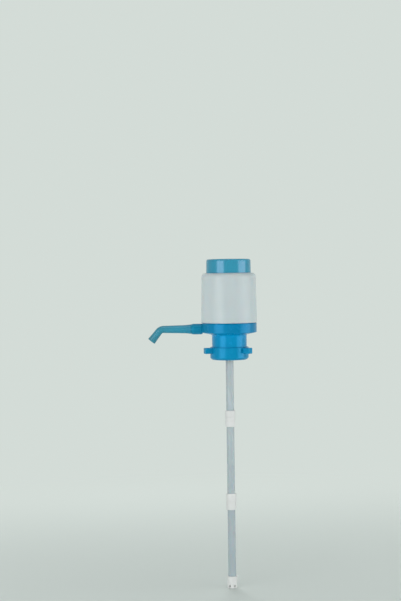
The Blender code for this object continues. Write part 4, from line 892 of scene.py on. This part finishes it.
# deck plate and cap plate with their clamp rings, valves, seal and screws
deckValues = {"radius": 46.0, "bottom": 37.9, "top": 40.9, "stemHole": 2.3, "airHole": 2.0, "airHoles": 6,
              "airCircle": 8.0}
deckSealValues = {"radius": 46.0, "inner": 43.6, "bottom": 36.6, "top": 37.6}
plateValues = {"radius": 38.3, "bottom": 146.0, "top": 149.0, "stemHole": 2.3, "airHole": 2.0, "airHoles": 6,
               "airCircle": 8.0, "vent": 1.6, "vents": 4}
clampValues = {"radius": 38.3, "bore": 32.2, "thickness": 2.5, "lowerBottom": 43.0, "upperBottom": 141.4}
valveValues = {"radius": 13.0, "lip": 1.3, "lipEdge": 0.3, "crown": 0.55, "stem": 2.0, "bulb": 3.2,
               "bulbBottom": 4.8, "barb": 0.4, "bulbTop": 7.0, "clearance": 0.3, "taper": 0.2}
screwValues = {"head": 2.0, "headHeight": 2.1, "dome": 0.55, "shaft": 1.2, "neck": 0.8, "pitch": 0.55,
               "ridge": 0.18, "tip": 0.8, "recess": 1.25, "recessWidth": 0.5, "recessDepth": 0.9,
               "baseSeat": 45.8, "baseTip": 34.1, "capSeat": 141.1, "capTip": 152.0}


def makePlate(name, body, node, v):
    # disc with a hole for its valve's stem, air holes round it and screw holes; vents notch its rim
    corners = [(v["stemHole"], v["top"], 0.2), (v["radius"], v["top"], 0.5), (v["radius"], v["bottom"], 0.5),
               (v["stemHole"], v["bottom"], 0.2)]
    plate = turnPiece(name, corners, 112, 3)
    under, over = v["bottom"] - overCut, v["top"] + overCut
    for place in circlePlaces(v["airCircle"], v["airHoles"]):
        combine(plate, peg(v["airHole"], under, over, place), "DIFFERENCE")
    drillScrewHoles(plate, under, over)
    if "vent" in v:
        for place in circlePlaces(v["radius"], v["vents"]):
            combine(plate, peg(v["vent"], under, over, place, holeSides), "DIFFERENCE")
    dress(plate, body, "white_plastic", node)


def makeClamp(name, body, node, bottom, v):
    top = bottom + v["thickness"]
    corners = [(v["radius"], top, 0.5), (v["radius"], bottom, 0.5), (v["bore"], bottom, 0.5),
               (v["bore"], top, 0.5)]
    clamp = turnPiece(name, corners, 112, 3)
    drillScrewHoles(clamp, bottom - overCut, top + overCut)
    dress(clamp, body, "white_plastic", node)


def makeValve(name, node, seat, v):
    # thin cap with a rounded lip under the plate, and a barbed stem through it
    upper, lower = seat - v["clearance"], seat - v["lip"]
    corners = [(0, seat + v["bulbTop"], 0), (v["stem"], seat + v["bulbTop"], 0.6),
               (v["bulb"], seat + v["bulbBottom"] + v["barb"], 0.3),
               (v["bulb"], seat + v["bulbBottom"], 0.2), (v["stem"], seat + v["bulbBottom"], 0.2),
               (v["stem"], upper, 0.3), (v["radius"], upper, 0.15),
               (v["radius"] - v["taper"], lower + v["lipEdge"], 0.2), (v["radius"] * v["crown"], lower, 0),
               (0, lower, 0)]
    dress(turnPiece(name, corners, 72, 4), node, "valve_silicone", node)


def makeDeckSeal(v):
    corners = [(v["radius"], v["top"], 0.25), (v["radius"], v["bottom"], 0.25),
               (v["inner"], v["bottom"], 0.25), (v["inner"], v["top"], 0.25)]
    dress(turnPiece("deckSeal", corners, 112, 3), "base", "seal_rubber", "deck_seal")


def makeScrew(name, body, node, seat, tip, place, v):
    # pan head with a cross recess and a turned shaft with thread ridges, made upright from its seat
    length = abs(seat - tip)
    corners = [(0, v["headHeight"], 0), (v["head"] * v["dome"], v["headHeight"], 0.6),
               (v["head"], v["headHeight"] * v["dome"], 0.5), (v["head"], 0, 0.2), (v["shaft"], 0, 0.1)]
    depth = v["neck"]
    while depth < length - v["tip"] - v["pitch"]:
        corners += [(v["shaft"], -depth, 0), (v["shaft"] - v["ridge"], -depth - v["pitch"] / 2, 0)]
        depth += v["pitch"]
    corners += [(v["shaft"], v["tip"] - length, 0), (0, -length, 0)]
    screw = turnPiece(name, corners, 28, 3)
    size = (v["recess"] * 2, v["recessWidth"], v["recessDepth"] * 2)
    for turn in (0.0, 90.0):
        slot = roundPlate("cross", size, (0.0, 0.0, v["headHeight"]), 0.0, turn)
        combine(screw, slot, "DIFFERENCE")
    if tip > seat:
        screw.data.transform(Matrix.Rotation(math.pi, 4, "X"))
    screw.data.transform(Matrix.Translation((place[0] * mm, place[1] * mm, seat * mm)))
    dress(screw, body, "screw_steel", node, angle=40.0)


makePlate("deckPlate", "base", "deck_plate", deckValues)
makePlate("capPlate", "cap", "cap_plate", plateValues)
makeClamp("lowerClamp", "base", "bellows_base_ring", clampValues["lowerBottom"], clampValues)
makeClamp("upperClamp", "cap", "bellows_top_ring", clampValues["upperBottom"], clampValues)
makeValve("outletValve", "outlet_valve", deckValues["bottom"], valveValues)
makeValve("inletValve", "inlet_valve", plateValues["bottom"], valveValues)
makeDeckSeal(deckSealValues)
for number, place in enumerate(screwPlaces, start=1):
    for body in ("base", "cap"):
        seat, tip = screwValues[body + "Seat"], screwValues[body + "Tip"]
        makeScrew(f"{body}Screw{number}", body, f"{body}_screw_{number}", seat, tip, place, screwValues)
print("deck, cap plate, valves and screws made")
